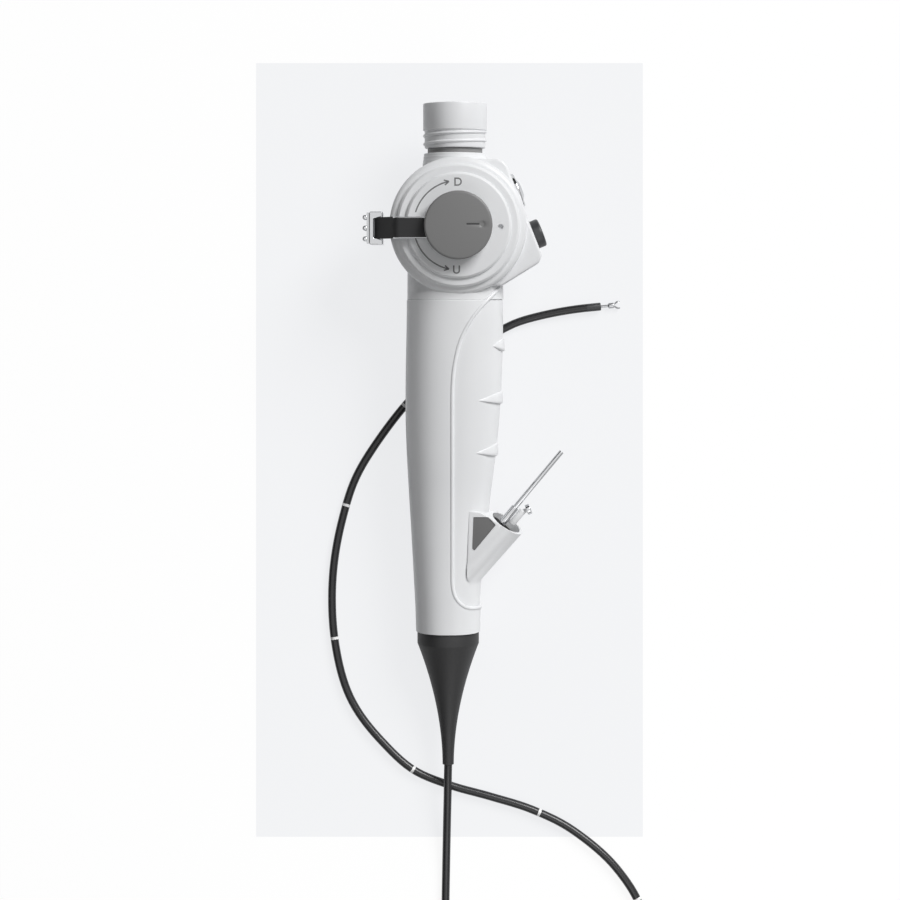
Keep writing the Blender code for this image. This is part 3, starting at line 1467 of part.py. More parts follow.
def make_jaw(name, side, level, pin_frame):
    """A cup on a flat tang that turns on the pin. Its rim faces the other jaw."""
    hinge = empty(name + "_frame", pin_frame, (0, 0, 0), (0, 0, side * JAW_OPEN))
    tang = slab(
        name,
        rounded(
            [
                (-0.42 * MM, -0.42 * MM, 0.3 * MM),
                (1.1 * MM, 0 if side > 0 else -0.62 * MM, 0),
                (1.1 * MM, 0.62 * MM if side > 0 else 0, 0),
                (-0.42 * MM, 0.42 * MM, 0.3 * MM),
            ],
            step=math.radians(30),
        ),
        level - 0.13 * MM,
        level + 0.13 * MM,
        hinge,
        (STEEL, 0.2, 1.0),
    )
    shape = bmesh.new()
    bmesh.ops.create_uvsphere(shape, u_segments=10, v_segments=6, radius=1.0)
    bmesh.ops.scale(shape, vec=((JAW_LENGTH - 0.8 * MM) / 2, 0.72 * MM, 0.8 * MM), verts=shape.verts)
    centre = ((JAW_LENGTH + 0.8 * MM) / 2, side * 0.12 * MM, 0)
    bmesh.ops.translate(shape, vec=centre, verts=shape.verts)
    cup = place(name + "_cup", from_bmesh(name + "_cup", shape), hinge)
    inner_low = -2 * MM if side > 0 else -0.12 * MM
    inner_high = 0.12 * MM if side > 0 else 2 * MM
    inner_half = box(
        name + "_inner_half", (0.5 * MM, inner_low, -2 * MM), (6 * MM, inner_high, 2 * MM), hinge
    )
    scoop_shape = bmesh.new()
    bmesh.ops.create_uvsphere(scoop_shape, u_segments=8, v_segments=5, radius=1.0)
    bmesh.ops.scale(scoop_shape, vec=((JAW_LENGTH - 1.8 * MM) / 2, 0.42 * MM, 0.5 * MM), verts=scoop_shape.verts)
    bmesh.ops.translate(scoop_shape, vec=centre, verts=scoop_shape.verts)
    scoop = place(name + "_scoop", from_bmesh(name + "_scoop", scoop_shape), hinge)
    hole = rod(name + "_hole", JAW_PIN_RADIUS + FINE_GAP, -2 * MM, 2 * MM, hinge, sides=12)
    cut(cup, inner_half, scoop)
    join(tang, cup)
    cut(tang, hole)


make_head()
make_far_cover()
make_dial()
make_lever()
make_bushes()
make_lock_knob()
make_screws()
make_wires()
make_connector()
finger_panel = make_grip()
port_axis, port_mouth = make_port(finger_panel)
port_seal = make_port_insides(port_axis)
make_window_inlays()
make_instrument(port_seal)
make_buttons()
make_grip_insides()
make_strain_relief()
tube_length = make_insertion_tube()
distal_tip, tip_cross = make_bending_section()
make_forceps(distal_tip, tip_cross)
bending = LINK_PITCH * LINK_COUNT + TIP_LENGTH
print(f"tube {tube_length * 1000:.1f} mm, working length {(tube_length + bending) * 1000:.1f} mm")
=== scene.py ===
# %% [markdown]
# # A flexible endoscope, dressed for the camera
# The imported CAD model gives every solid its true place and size. This lesson loads it as a fixed
# frame, and then builds the surfaces that the eye sees around it: mouldings with soft edges, a
# polished lever, the ringed black tube and its finishes. Everything is measured in millimetres in
# the handle's own frame, and one matrix takes it to the table, in metres.

# %% Load the fixed frame
import json
from math import atan2, copysign, cos, degrees, pi, radians, sin, tan

import bmesh
import bpy
from mathutils import Matrix, Vector

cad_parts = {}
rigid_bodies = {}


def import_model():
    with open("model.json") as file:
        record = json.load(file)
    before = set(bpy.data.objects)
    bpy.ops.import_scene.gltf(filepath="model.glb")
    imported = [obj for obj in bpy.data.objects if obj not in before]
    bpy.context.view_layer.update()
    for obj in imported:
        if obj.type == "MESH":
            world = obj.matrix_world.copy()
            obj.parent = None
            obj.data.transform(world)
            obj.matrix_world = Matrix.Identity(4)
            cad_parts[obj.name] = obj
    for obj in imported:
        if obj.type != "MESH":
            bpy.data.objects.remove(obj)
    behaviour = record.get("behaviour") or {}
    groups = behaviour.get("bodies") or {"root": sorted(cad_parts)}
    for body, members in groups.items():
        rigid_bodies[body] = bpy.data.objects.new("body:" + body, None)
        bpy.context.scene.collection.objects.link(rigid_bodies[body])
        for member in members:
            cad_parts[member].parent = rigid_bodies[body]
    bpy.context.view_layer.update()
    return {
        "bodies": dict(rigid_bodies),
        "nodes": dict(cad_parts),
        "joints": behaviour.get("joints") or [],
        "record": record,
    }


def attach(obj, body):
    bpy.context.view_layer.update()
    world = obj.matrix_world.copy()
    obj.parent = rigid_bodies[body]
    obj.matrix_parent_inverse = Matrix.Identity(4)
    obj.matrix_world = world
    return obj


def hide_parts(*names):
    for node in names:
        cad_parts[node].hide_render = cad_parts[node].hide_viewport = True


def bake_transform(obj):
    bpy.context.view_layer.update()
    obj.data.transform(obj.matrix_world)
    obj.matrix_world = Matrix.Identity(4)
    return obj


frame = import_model()
NODES = frame["nodes"]

# %% [markdown]
# ## Where things are
# The handle lies tilted: it rests on the round boss behind its head and on the lower end of its
# grip. So the handle gets a matrix of its own, whose origin is the middle of the lever's axle, with
# X across the handle, Y up it towards the video connector and Z out of the face with the lever.

# %% Frames of the handle, the connector, the strain relief and the table
MM = 0.001
FOOT_RADIUS = 17.0
FOOT_DEPTH = 22.5
GRIP_END = -148.8
GRIP_END_RADIUS = 11.9
TILT = atan2(FOOT_DEPTH - GRIP_END_RADIUS, -GRIP_END - FOOT_RADIUS)
AXLE = Vector((-2.22, 76.585, FOOT_RADIUS * sin(TILT) + FOOT_DEPTH * cos(TILT)))
CONNECTOR_X = -1.1
TAIL_X = -3.6

HANDLE = Matrix.Scale(MM, 4) @ Matrix.Translation(AXLE) @ Matrix.Rotation(TILT, 4, "X")
ALONG_HANDLE = Matrix.Rotation(-pi / 2, 4, "X")
CONNECTOR = HANDLE @ Matrix.Translation((CONNECTOR_X, 0, 0)) @ ALONG_HANDLE
TAIL = HANDLE @ Matrix.Translation((TAIL_X, 0, 0)) @ ALONG_HANDLE
TABLE = Matrix.Scale(MM, 4) @ Matrix.Translation((AXLE.x, AXLE.y, 0))
print(f"the handle is tilted {degrees(TILT):.2f} degrees, its axle is {AXLE.z:.1f} mm up")

# %% [markdown]
# ## The camera
# The photograph looks straight down on the table from about eighty centimetres: the collar, the
# dial and the strain relief show the small shifts of a near camera. The lens follows from the
# distance and from the size of the picture, and the camera stands where those shifts agree.

# %% Camera straight above the table
FOCAL_PIXELS = 2154.03
PICTURE_PIXELS = 900


def linked(name, data):
    """A new object with this data, linked to the scene."""
    made = bpy.data.objects.new(name, data)
    bpy.context.scene.collection.objects.link(made)
    return made


camera = linked("camera", bpy.data.cameras.new("camera"))
camera.data.sensor_width = 36
camera.data.lens = 36 * FOCAL_PIXELS / PICTURE_PIXELS
camera.data.clip_start = 0.01
camera.location = (AXLE + Vector((-2.92, -81.6, 786.2))) * MM
bpy.context.scene.camera = camera
print(f"lens {camera.data.lens:.1f} mm, {camera.location.z * 1000:.0f} mm above the table")

# %% [markdown]
# ## Colours and nodes
# Colours are written as the hex values a screen shows, and one function turns them to the linear
# values that Blender reckons with. One small helper adds a shader node, with its settings and with
# a value or a link for each input, so that a finish reads as a short list of what it is made from.

# %% Colour and node helpers
def linear(hex_colour):
    channels = [int(hex_colour[i : i + 2], 16) / 255 for i in (1, 3, 5)]
    return [c / 12.92 if c <= 0.04045 else ((c + 0.055) / 1.055) ** 2.4 for c in channels] + [1.0]


def add(tree, kind, inputs=None, **settings):
    made = tree.nodes.new(kind)
    for name, value in settings.items():
        setattr(made, name, value)
    for socket, value in (inputs or {}).items():
        if isinstance(value, bpy.types.NodeSocket):
            tree.links.new(value, made.inputs[socket])
        else:
            made.inputs[socket].default_value = value
    return made


def reckoned(tree, operation, *values):
    """The result of a Math node."""
    return add(tree, "ShaderNodeMath", dict(enumerate(values)), operation=operation).outputs[0]


def mixed(tree, share, first, second):
    """The first colour where the share is 0, the second where it is 1."""
    return add(tree, "ShaderNodeMixRGB", {"Fac": share, "Color1": first, "Color2": second}).outputs[0]


def new_finish(name, **shader_values):
    """A material with only a Principled shader in it, and that shader."""
    finish = bpy.data.materials.new(name)
    finish.use_nodes = True
    shader = finish.node_tree.nodes["Principled BSDF"]
    for socket, value in shader_values.items():
        shader.inputs[socket.replace("_", " ")].default_value = value
    return finish, finish.node_tree, shader


def noise(tree, feature_mm, detail=2.0, stretch=None):
    """A noise on Object coordinates with features this many millimetres wide, stretched if asked."""
    where = add(tree, "ShaderNodeTexCoord").outputs["Object"]
    if stretch:
        where = add(tree, "ShaderNodeMapping", {"Vector": where, "Scale": stretch}).outputs[0]
    inputs = {"Vector": where, "Scale": 1000 / feature_mm, "Detail": detail}
    return add(tree, "ShaderNodeTexNoise", inputs).outputs[0]


def worked(tree, shader, texture, roughness, spread, relief_mm, strength):
    """A texture moves the shader's roughness about its mean, and raises a shallow relief."""
    bounds = {"Value": texture, "To Min": max(roughness - spread, 0.02), "To Max": roughness + spread}
    gloss = add(tree, "ShaderNodeMapRange", bounds)
    relief = {"Height": texture, "Distance": relief_mm * MM, "Strength": strength}
    bump = add(tree, "ShaderNodeBump", relief)
    tree.links.new(gloss.outputs[0], shader.inputs["Roughness"])
    tree.links.new(bump.outputs[0], shader.inputs["Normal"])


# %% [markdown]
# ## Moulded plastics and rubbers
# Nearly all of the handle is injection moulded. A mould leaves a fine grain from its spark-eroded
# steel, so the surface is satin and never quite even: a broad, faint drift of tone, a grain that
# breaks up the highlight, and a shallow relief. Two noises do that, each at its own real size. The
# same recipe serves ABS, the rubbers and the tube, with other colours, sizes and depths.

# %% Recipe for a moulded surface
DRIFT_MM = 22  # broad drift of tone that cooling leaves in a moulding


def moulded(name, light, dark, roughness, grain_mm, relief_mm, spread=0.06, **shader_values):
    finish, tree, shader = new_finish(name, **shader_values)
    tone = mixed(tree, noise(tree, DRIFT_MM), linear(dark), linear(light))
    tree.links.new(tone, shader.inputs["Base Color"])
    worked(tree, shader, noise(tree, grain_mm, 3.0), roughness, spread, relief_mm, 0.6)
    return finish


# %% The plastics and rubbers
# White ABS, moulded satin: a clean cool white with a soft, broad highlight
white_abs = moulded("moulded_white_abs", "#EDEEEF", "#E6E7E9", 0.34, 0.55, 0.012, IOR=1.54)
# Grey PC-ABS, moulded with a finer grain: the lock knob
grey_abs = moulded("moulded_grey_pc_abs", "#7A7A7A", "#747474", 0.42, 0.5, 0.015, IOR=1.57)
# Dark grey PC-ABS, moulded: inlays, liner and the mouldings inside
dark_abs = moulded("moulded_dark_grey_pc_abs", "#676767", "#606060", 0.45, 0.5, 0.015, IOR=1.57)
# Black thermoplastic elastomer, moulded matt: the soft boot and the port's seal
black_elastomer = moulded("moulded_black_elastomer", "#2A2A2B", "#252526", 0.55, 0.6, 0.02, IOR=1.5)
# Black polyurethane, extruded over a braid: the tube, smooth enough to carry a long streak of light
black_polyurethane = moulded(
    "extruded_black_polyurethane", "#232325", "#1C1C1E", 0.3, 0.35, 0.008, IOR=1.5,
)
# Black PBT, moulded: the suction button and the stiff tip
black_pbt = moulded("moulded_black_pbt", "#333436", "#2B2C2E", 0.4, 0.4, 0.012, IOR=1.57)
# Painted dark reflection on the flat of the lever: a black satin sheet stands in for the dark
# surroundings that the polished steel would mirror. It mirrors little itself, so each flat keeps its own
# tone
painted_dark_reflection = moulded(
    "black_painted_reflection_on_steel", "#39393A", "#353536", 0.45, 1.5, 0.002, IOR=1.5, Specular_IOR_Level=0.15,
)
# Grey pad-printing ink on the dial
grey_ink = moulded("pad_printed_grey_ink", "#7A7A7B", "#717172", 0.5, 0.3, 0.004, IOR=1.5)
# Dark paint filled into the knob's index line
dark_paint = moulded("filled_dark_paint", "#3F3F40", "#3A3A3B", 0.5, 0.3, 0.004, IOR=1.5)
# Fluoropolymer, extruded: the working channel's tubing
fluoropolymer = moulded("extruded_fluoropolymer", "#DCE0E0", "#D0D4D5", 0.3, 0.5, 0.006, IOR=1.35)
# Green solder mask, sprayed on the control board
solder_mask = moulded("green_solder_mask", "#1F6B44", "#1A5A39", 0.3, 0.9, 0.02, IOR=1.5)
# Grey silicone, moulded: the collar's seal ring, its grey deepened as painted shade for the shadowed
# groove under the collar
seal_grey_painted_shade = moulded("moulded_silicone_with_painted_shade", "#929292", "#8A8A8A", 0.5, 0.6, 0.01, IOR=1.43)
print("moulded finishes:", sum(1 for m in bpy.data.materials if m.node_tree))

# %% [markdown]
# ## Metals
# A metal keeps the shader's own IOR: its colour is what it reflects. Polished steel still carries
# hairlines, so a noise is stretched fifty times along one direction and moves both roughness and
# relief by a little. A drawn or turned metal gets the same recipe with more of it.

# %% Recipe for a metal
def polished(name, colour, roughness, hairline_mm, relief_mm, along=(1, 1, 0.02)):
    finish, tree, shader = new_finish(name, Base_Color=linear(colour), Metallic=1.0)
    worked(tree, shader, noise(tree, hairline_mm, stretch=along), roughness, 0.04, relief_mm, 0.5)
    return finish


# %% The metals
# Stainless steel, buffed until it mirrors: lever, thumb plate, function button, instrument
polished_steel = polished("polished_stainless_steel", "#CFD0D2", 0.1, 0.3, 0.001)
# Stainless steel, drawn through a die: wires, sheaths, springs, screws, axle, forceps
drawn_steel = polished("drawn_stainless_steel", "#B9BABC", 0.28, 0.2, 0.004)
# Sintered bronze of the axle bushes
sintered_bronze = polished("sintered_bronze", "#B98F5A", 0.4, 0.25, 0.01, along=(1, 1, 1))
# Gold plating on the contact pins
gold_plate = polished("gold_plated_contacts", "#E0B862", 0.2, 0.2, 0.002)


def optical_glass():
    """Polished glass of the camera window: the dark barrel behind it shows as a deep blue black."""
    finish, tree, shader = new_finish("polished_optical_glass", Roughness=0.04, IOR=1.52)
    tint = mixed(tree, noise(tree, 0.4), linear("#0B0D14"), linear("#1B2233"))
    tree.links.new(tint, shader.inputs["Base Color"])
    return finish


camera_glass = optical_glass()

# %% The library's slot of each finish
SLOTS = {
    "white_plastic": [white_abs],
    "grey_plastic": [grey_abs, dark_abs, grey_ink, dark_paint, seal_grey_painted_shade],
    "black_plastic": [black_pbt, black_polyurethane],
    "black_rubber": [black_elastomer],
    "polished_steel": [polished_steel, painted_dark_reflection],
    "brushed_steel": [drawn_steel],
    "lens_glass": [camera_glass],
}
slot_of = {finish: slot for slot, finishes in SLOTS.items() for finish in finishes}
print("slots:", ", ".join(SLOTS))

# %% [markdown]
# ## Ways to make a piece
# A turned piece is a profile swept about an axis. Moulded corners are never sharp, so the profile's
# corners are rounded before the turn: that small radius is what catches the light. A flat outline
# is raised to a slab. Booleans cut and join, and the result is turned into a plain mesh at once.

# %% Outlines and rounded corners
def rounded(corners, closed=True, arc_step=12):
    """Points of an outline whose corners (x, y, radius) have become arcs."""
    points = []
    for i, (x, y, radius) in enumerate(corners):
        at_end = not closed and i in (0, len(corners) - 1)
        if not radius or at_end:
            points.append((x, y))
            continue
        here = Vector((x, y))
        back = Vector(corners[i - 1][:2]) - here
        ahead = Vector(corners[(i + 1) % len(corners)][:2]) - here
        half = back.angle(ahead) / 2
        reach = min(radius / tan(half), 0.49 * back.length, 0.49 * ahead.length)
        radius = reach * tan(half)
        middle = here + (back.normalized() + ahead.normalized()).normalized() * radius / sin(half)
        spoke = here + back.normalized() * reach - middle
        sweep = pi - 2 * half
        turn = -1 if back.cross(ahead) > 0 else 1
        count = max(3, round(degrees(sweep) / arc_step))
        for k in range(count + 1):
            rotated = spoke.copy()
            rotated.rotate(Matrix.Rotation(turn * sweep * k / count, 2))
            points.append(tuple(middle + rotated))
    return points


def mesh_piece(name, shape, place, smooth_angle=35):
    """An object at the origin whose mesh is this shape, taken by the matrix to its place."""
    bmesh.ops.remove_doubles(shape, verts=shape.verts, dist=0.0005)
    bmesh.ops.recalc_face_normals(shape, faces=shape.faces)
    mesh = bpy.data.meshes.new(name)
    shape.to_mesh(mesh)
    shape.free()
    mesh.transform(place)
    mesh.shade_smooth()
    mesh.set_sharp_from_angle(angle=radians(smooth_angle))
    return linked(name, mesh)


def circle(count):
    """The angles of this many points evenly round a circle."""
    return [2 * pi * k / count for k in range(count)]


def skinned(shape, rings, capped=True):
    """Faces from each ring of points to the next, and over the two ends."""
    for first, second in zip(rings, rings[1:]):
        for k in range(len(first)):
            n = (k + 1) % len(first)
            shape.faces.new((first[k], first[n], second[n], second[k]))
    if capped:
        shape.faces.new(rings[0])
        shape.faces.new(rings[-1])


def turned(name, profile, place, steps=128, ring=False):
    """A piece turned about the place's Z from (radius, height, rounding) corners; a ring is closed."""
    shape = bmesh.new()
    rings = []
    for radius, height in rounded(profile, closed=ring, arc_step=22):
        if radius < 1e-6:
            rings.append([shape.verts.new((0, 0, height))] * steps)
            continue
        ring_places = [(radius * cos(a), radius * sin(a), height) for a in circle(steps)]
        rings.append([shape.verts.new(at) for at in ring_places])
    pairs = list(zip(rings, rings[1:])) + ([(rings[-1], rings[0])] if ring else [])
    for upper, lower in pairs:
        for k in range(steps):
            n = (k + 1) % steps
            corners = dict.fromkeys((upper[k], upper[n], lower[n], lower[k]))
            if len(corners) > 2:
                shape.faces.new(list(corners))
    return mesh_piece(name, shape, place)


def slab(name, outline, low, high, place, edge=0.0, segments=4):
    """A flat outline made solid from low to high, its rim rounded where an edge is given."""
    shape = bmesh.new()
    floor = shape.faces.new([shape.verts.new((x, y, low)) for x, y in outline])
    raised = bmesh.ops.extrude_face_region(shape, geom=[floor])
    lifted = [v for v in raised["geom"] if isinstance(v, bmesh.types.BMVert)]
    bmesh.ops.translate(shape, vec=(0, 0, high - low), verts=lifted)
    piece = mesh_piece(name, shape, place)
    return softened(piece, edge, segments) if edge else piece


def oval_bar(name, half_x, half_y, low, high, place, sides=96):
    outline = [(half_x * cos(a), half_y * sin(a)) for a in circle(sides)]
    return slab(name, outline, low, high, place)


def rod(name, radius, low, high, place, sides=96):
    return oval_bar(name, radius, radius, low, high, place, sides)


# %% Modifiers turned into plain meshes, and Booleans
def applied(piece):
    """The piece with its modifiers made part of its mesh."""
    bpy.context.view_layer.update()
    evaluated = piece.evaluated_get(bpy.context.evaluated_depsgraph_get())
    mesh = bpy.data.meshes.new_from_object(evaluated)
    piece.modifiers.clear()
    piece.data = mesh
    mesh.shade_smooth()
    mesh.set_sharp_from_angle(angle=radians(35))
    return piece


def softened(piece, width, segments, from_degrees=50):
    """The piece with its sharp edges rounded."""
    bevel = piece.modifiers.new("edge", "BEVEL")
    bevel.width = width * MM
    bevel.segments = segments
    bevel.limit_method = "ANGLE"
    bevel.angle_limit = radians(from_degrees)
    return applied(piece)


def carve(piece, operation, *others):
    """The piece cut by, joined to or kept inside the others, which are then removed."""
    for other in others:
        step = piece.modifiers.new(operation, "BOOLEAN")
        step.operation = operation
        step.solver = "EXACT"
        step.object = other
    applied(piece)
    for other in others:
        bpy.data.objects.remove(other, do_unlink=True)
    return piece


# %% Frames for pieces that stand elsewhere or lean
def moved(frame, x, y, z=0.0):
    return frame @ Matrix.Translation((x, y, z))


def pointing(frame, place, heading, lean=pi / 2):
    """A frame at a place, whose Z is laid over along the heading."""
    turned_about = frame @ Matrix.Translation(place) @ Matrix.Rotation(heading, 4, "Z")
    return turned_about @ Matrix.Rotation(lean, 4, "Y")


# %% Give a piece its finish, its body and the solids that it stands for
def dress(piece, finish, *nodes, body="handle"):
    piece.data.materials.clear()
    piece.data.materials.append(finish)
    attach(piece, body)
    if nodes:
        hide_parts(*nodes)
    print(f"{piece.name}: {len(piece.data.polygons)} faces on {body}")
    return piece


# %% [markdown]
# ## The black tube
# The tube is one smooth curve through a few route points on the table. It leaves the strain relief,
# comes down to the table, turns in a wide loop below the picture, crosses under itself and runs
# beneath the grip to the tip. Such tubes carry white rings every fifty millimetres, so the sweep
# stores how far each point is along the tube, and the finish paints rings from that number.

# %% The route, in millimetres from the axle's place on the table
TUBE_RADIUS = 1.5
BOOT_LENGTH = 50.0
BEND_BASE = Vector((26.4, -32.4, TUBE_RADIUS))
BEND_HEADING = radians(16.0)
TUBE_ROUTE = [
    (-3.7, -203.0, 7.5), (-3.8, -210.0, 6.5), (-4.0, -219.0, 4.7), (-4.2, -229.0, 2.7),
    (-4.4, -240.0, 1.7), (-4.6, -252.0, 1.5), (-4.8, -274.0, 1.5), (-4.9, -290.0, 1.5),
    (-2.0, -308.0, 1.5), (9.5, -324.0, 1.5), (26.5, -332.5, 1.5), (44.5, -331.5, 1.5),
    (60.5, -321.5, 1.5), (70.5, -305.0, 1.5), (73.5, -285.0, 1.5), (70.0, -257.0, 1.5),
    (59.5, -238.5, 1.5), (43.5, -224.5, 1.5), (28.0, -216.6, 1.5), (12.1, -211.6, 1.5),
    (-2.9, -207.4, 1.5), (-17.0, -201.4, 1.5), (-28.7, -190.7, 1.5), (-37.6, -179.5, 1.5),
    (-42.9, -168.0, 1.5), (-46.2, -152.8, 1.5), (-47.2, -137.8, 1.5), (-46.3, -122.9, 1.5),
    (-43.4, -107.9, 1.5), (-38.7, -93.0, 1.5), (-31.2, -80.0, 1.5), (-19.8, -64.9, 1.5),
    (-8.0, -53.2, 1.5), (4.0, -44.1, 1.5), (10.5, -39.65, 1.5), (16.6, -36.4, 1.5),
    (21.0, -34.25, 1.5), (23.72, -33.22, 1.5),
]


STEPS_BETWEEN = 20  # points between two of the route, before they are spaced evenly


def smooth_path(points, spacing):
    """Points a fixed distance apart on the smooth curve through these points, and its length."""
    route = [Vector(p) for p in points]
    route = [2 * route[0] - route[1]] + route + [2 * route[-1] - route[-2]]
    fine = []
    for a, b, c, d in zip(route, route[1:], route[2:], route[3:]):
        for k in range(STEPS_BETWEEN):
            t = k / STEPS_BETWEEN
            curve = 2 * b + (c - a) * t + (2 * a - 5 * b + 4 * c - d) * t**2
            fine.append(0.5 * (curve + (3 * b - a - 3 * c + d) * t**3))
    fine.append(route[-2])
    lengths = [0.0]
    for first, second in zip(fine, fine[1:]):
        lengths.append(lengths[-1] + (second - first).length)
    count = max(2, round(lengths[-1] / spacing))
    found, at = [], 0
    for k in range(count + 1):
        goal = lengths[-1] * k / count
        while at < len(lengths) - 2 and lengths[at + 1] < goal:
            at += 1
        share = (goal - lengths[at]) / (lengths[at + 1] - lengths[at])
        found.append(fine[at].lerp(fine[at + 1], share))
    return found, lengths[-1]


boot_end = TABLE.inverted() @ (TAIL @ Vector((0, 0, GRIP_END - 0.3 - BOOT_LENGTH - 0.3)))
heading = Vector((cos(BEND_HEADING), sin(BEND_HEADING), 0))
tube_points, tube_mm = smooth_path([boot_end, *TUBE_ROUTE, BEND_BASE - heading * 0.9], 2.4)
for point in tube_points:
    point.z = max(point.z, TUBE_RADIUS)
print(f"tube: {len(tube_points)} points, {tube_mm:.0f} mm")


# %% Sweep a round section along a path, storing the distance along it
def swept(name, points, radius, place, sides=24):
    shape = bmesh.new()
    along = shape.verts.layers.float.new("along_mm")
    across = Vector((0, 0, 1))
    rings, done = [], 0.0
    for i, point in enumerate(points):
        ahead = (points[min(i + 1, len(points) - 1)] - points[max(i - 1, 0)]).normalized()
        side = ahead.cross(across).normalized()
        across = side.cross(ahead).normalized()
        done += (point - points[i - 1]).length if i else 0
        ring = []
        for angle in circle(sides):
            vert = shape.verts.new(point + (side * cos(angle) + across * sin(angle)) * radius)
            vert[along] = done
            ring.append(vert)
        rings.append(ring)
    skinned(shape, rings)
    return mesh_piece(name, shape, place, smooth_angle=50)


insertion_tube = swept("insertion_tube_sheath", tube_points, TUBE_RADIUS, TABLE)

# %% [markdown]
# ## White rings on the tube
# The rings are printed ink, one about every fifty millimetres from the tip, so that a doctor can
# read how deep the tube is in. The four that the photograph shows are at uneven distances, so the
# finish is given a list of places. A comparison of the stored distance with each place says where
# there is ink, and the sum of the comparisons mixes the white over the black.

# %% The ringed finish
RING_WIDTH = 1.0
RINGS_FROM_END = [56.4, 100.0, 150.5, 209.8, 260, 310, 360, 410, 460, 510]


def ringed_polyurethane():
    finish = black_polyurethane.copy()
    finish.name = "extruded_black_polyurethane_with_printed_rings"
    tree = finish.node_tree
    base = tree.nodes["Principled BSDF"].inputs["Base Color"]
    along = add(tree, "ShaderNodeAttribute", attribute_name="along_mm").outputs["Fac"]
    ink = 0.0
    for from_end in RINGS_FROM_END:
        near = reckoned(tree, "COMPARE", along, tube_mm - from_end, RING_WIDTH / 2)
        ink = reckoned(tree, "ADD", near, ink)
    tree.links.new(mixed(tree, ink, base.links[0].from_socket, linear("#F4F4F4")), base)
    slot_of[finish] = slot_of[black_polyurethane]
    return finish


dress(insertion_tube, ringed_polyurethane(), "insertion_tube")

# %% [markdown]
# ## The bending section and the tip
# Under its rubber sleeve the last stretch of the tube is a chain of small links. The sleeve is made
# in eight short lengths, each centred on one joint. Their ends meet in the middle of a link.

# %% The joints' places along the bending section
LINK_PITCH = 3.1
LINK_COUNT = 7
TIP_LENGTH = 6.0
TIP_LOW = 0.85  # where the stiff tip takes over from the last sleeve, past the last joint
REST_CURL = radians(-1.3)
joints, headings = [BEND_BASE.copy()], []
for k in range(LINK_COUNT + 1):
    angle = BEND_HEADING + REST_CURL * (k + 1)
    headings.append(Vector((cos(angle), sin(angle), 0)))
    if k < LINK_COUNT:
        joints.append(joints[-1] + headings[-1] * LINK_PITCH)
ends = [BEND_BASE - heading * 0.9]
ends += [(a + b) / 2 for a, b in zip(joints, joints[1:])]
ends += [joints[-1] + headings[-1] * TIP_LOW]

# %% Eight sleeve lengths, each centred on its joint
SLEEVE_STEPS = 10
for k, joint in enumerate(joints):
    first, last = ends[k], ends[k + 1]
    line = [first.lerp(joint, s / SLEEVE_STEPS) for s in range(SLEEVE_STEPS)]
    line += [joint.lerp(last, s / SLEEVE_STEPS) for s in range(SLEEVE_STEPS + 1)]
    sleeve = swept(f"bend_sleeve_{k + 1}", line, TUBE_RADIUS, TABLE)
    sleeve.data.materials.append(black_polyurethane)
    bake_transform(sleeve)
    if k < LINK_COUNT:
        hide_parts(f"bending_link_{k + 1}")

# %% The distal tip, with its channel and its camera window
tip_heading = atan2(headings[-1].y, headings[-1].x)
TIP = pointing(TABLE, joints[-1], tip_heading)
CHANNEL_DROP = 0.5
LENS_RISE = 0.82
CHANNEL_AXIS = moved(TIP, CHANNEL_DROP, 0)
LENS_AXIS = moved(TIP, -LENS_RISE, 0)
tip_profile = [(0, TIP_LENGTH, 0), (TUBE_RADIUS, TIP_LENGTH, 0.3), (TUBE_RADIUS, TIP_LOW, 0)]
distal_tip = turned("distal_tip_cap", [*tip_profile, (0, TIP_LOW, 0)], TIP, steps=64)
channel = rod("channel", 0.66, TIP_LOW - 1, TIP_LENGTH + 1, CHANNEL_AXIS, 32)
window = rod("window", 0.46, TIP_LENGTH - 1.5, TIP_LENGTH + 1, LENS_AXIS, 32)
carve(distal_tip, "DIFFERENCE", channel, window)
dress(distal_tip, black_pbt, "distal_tip", body="tip")
lens_shape = [(0, 0.02), (0.2, 0), (0.34, -0.1), (0.34, -1.38), (0, -1.38)]
lens_profile = [(r, TIP_LENGTH + z, 0) for r, z in lens_shape]
camera_window = turned("camera_window", lens_profile, LENS_AXIS, steps=32)
dress(camera_window, camera_glass, "camera_lens", body="tip")

# %% [markdown]
# ## The forceps
# Out of the channel comes a thin shaft with a forked hub, a pin, and two open cups. Each cup is
# half of a hollow egg with a toothed rim, on a flat tang with the pin's hole. The half egg is made
# row by row, from the toothed rim down to its pole, and Solidify gives it a wall.

# %% Shaft and forked hub
FORCEPS_FRONT = TIP_LENGTH + 2.6
SHAFT_BACK = 3.1
HUB_LENGTH = 2.4
hub_end = FORCEPS_FRONT + HUB_LENGTH
PIN_AT = hub_end - 0.45
forceps = turned(
    "forceps_shaft_and_hub",
    [
        (0, hub_end, 0), (1.05, hub_end, 0.3), (1.05, FORCEPS_FRONT + 0.5, 0.3),
        (0.5, FORCEPS_FRONT, 0.1), (0.5, SHAFT_BACK, 0), (0, SHAFT_BACK, 0),
    ], CHANNEL_AXIS, steps=48,
)
slot_low = FORCEPS_FRONT + 0.9
slot_outline = [(-0.42, slot_low), (0.42, slot_low), (0.42, 20), (-0.42, 20)]
through = CHANNEL_AXIS @ Matrix.Rotation(pi / 2, 4, "X") @ Matrix.Scale(-1, 4, (0, 0, 1))
carve(forceps, "DIFFERENCE", slab("fork", slot_outline, -3, 3, through))
dress(forceps, drawn_steel, "forceps_shaft", body="forceps")

# %% Two toothed cups
JAW_LENGTH = 3.0
JAW_TANG = 0.8
JAW_OPEN = radians(20)
JAW_GAP = 0.12
PIN_PLACE = TABLE @ Matrix.Translation(joints[-1]) @ Matrix.Rotation(tip_heading, 4, "Z")
PIN_PLACE = moved(PIN_PLACE, PIN_AT, 0, -CHANNEL_DROP)


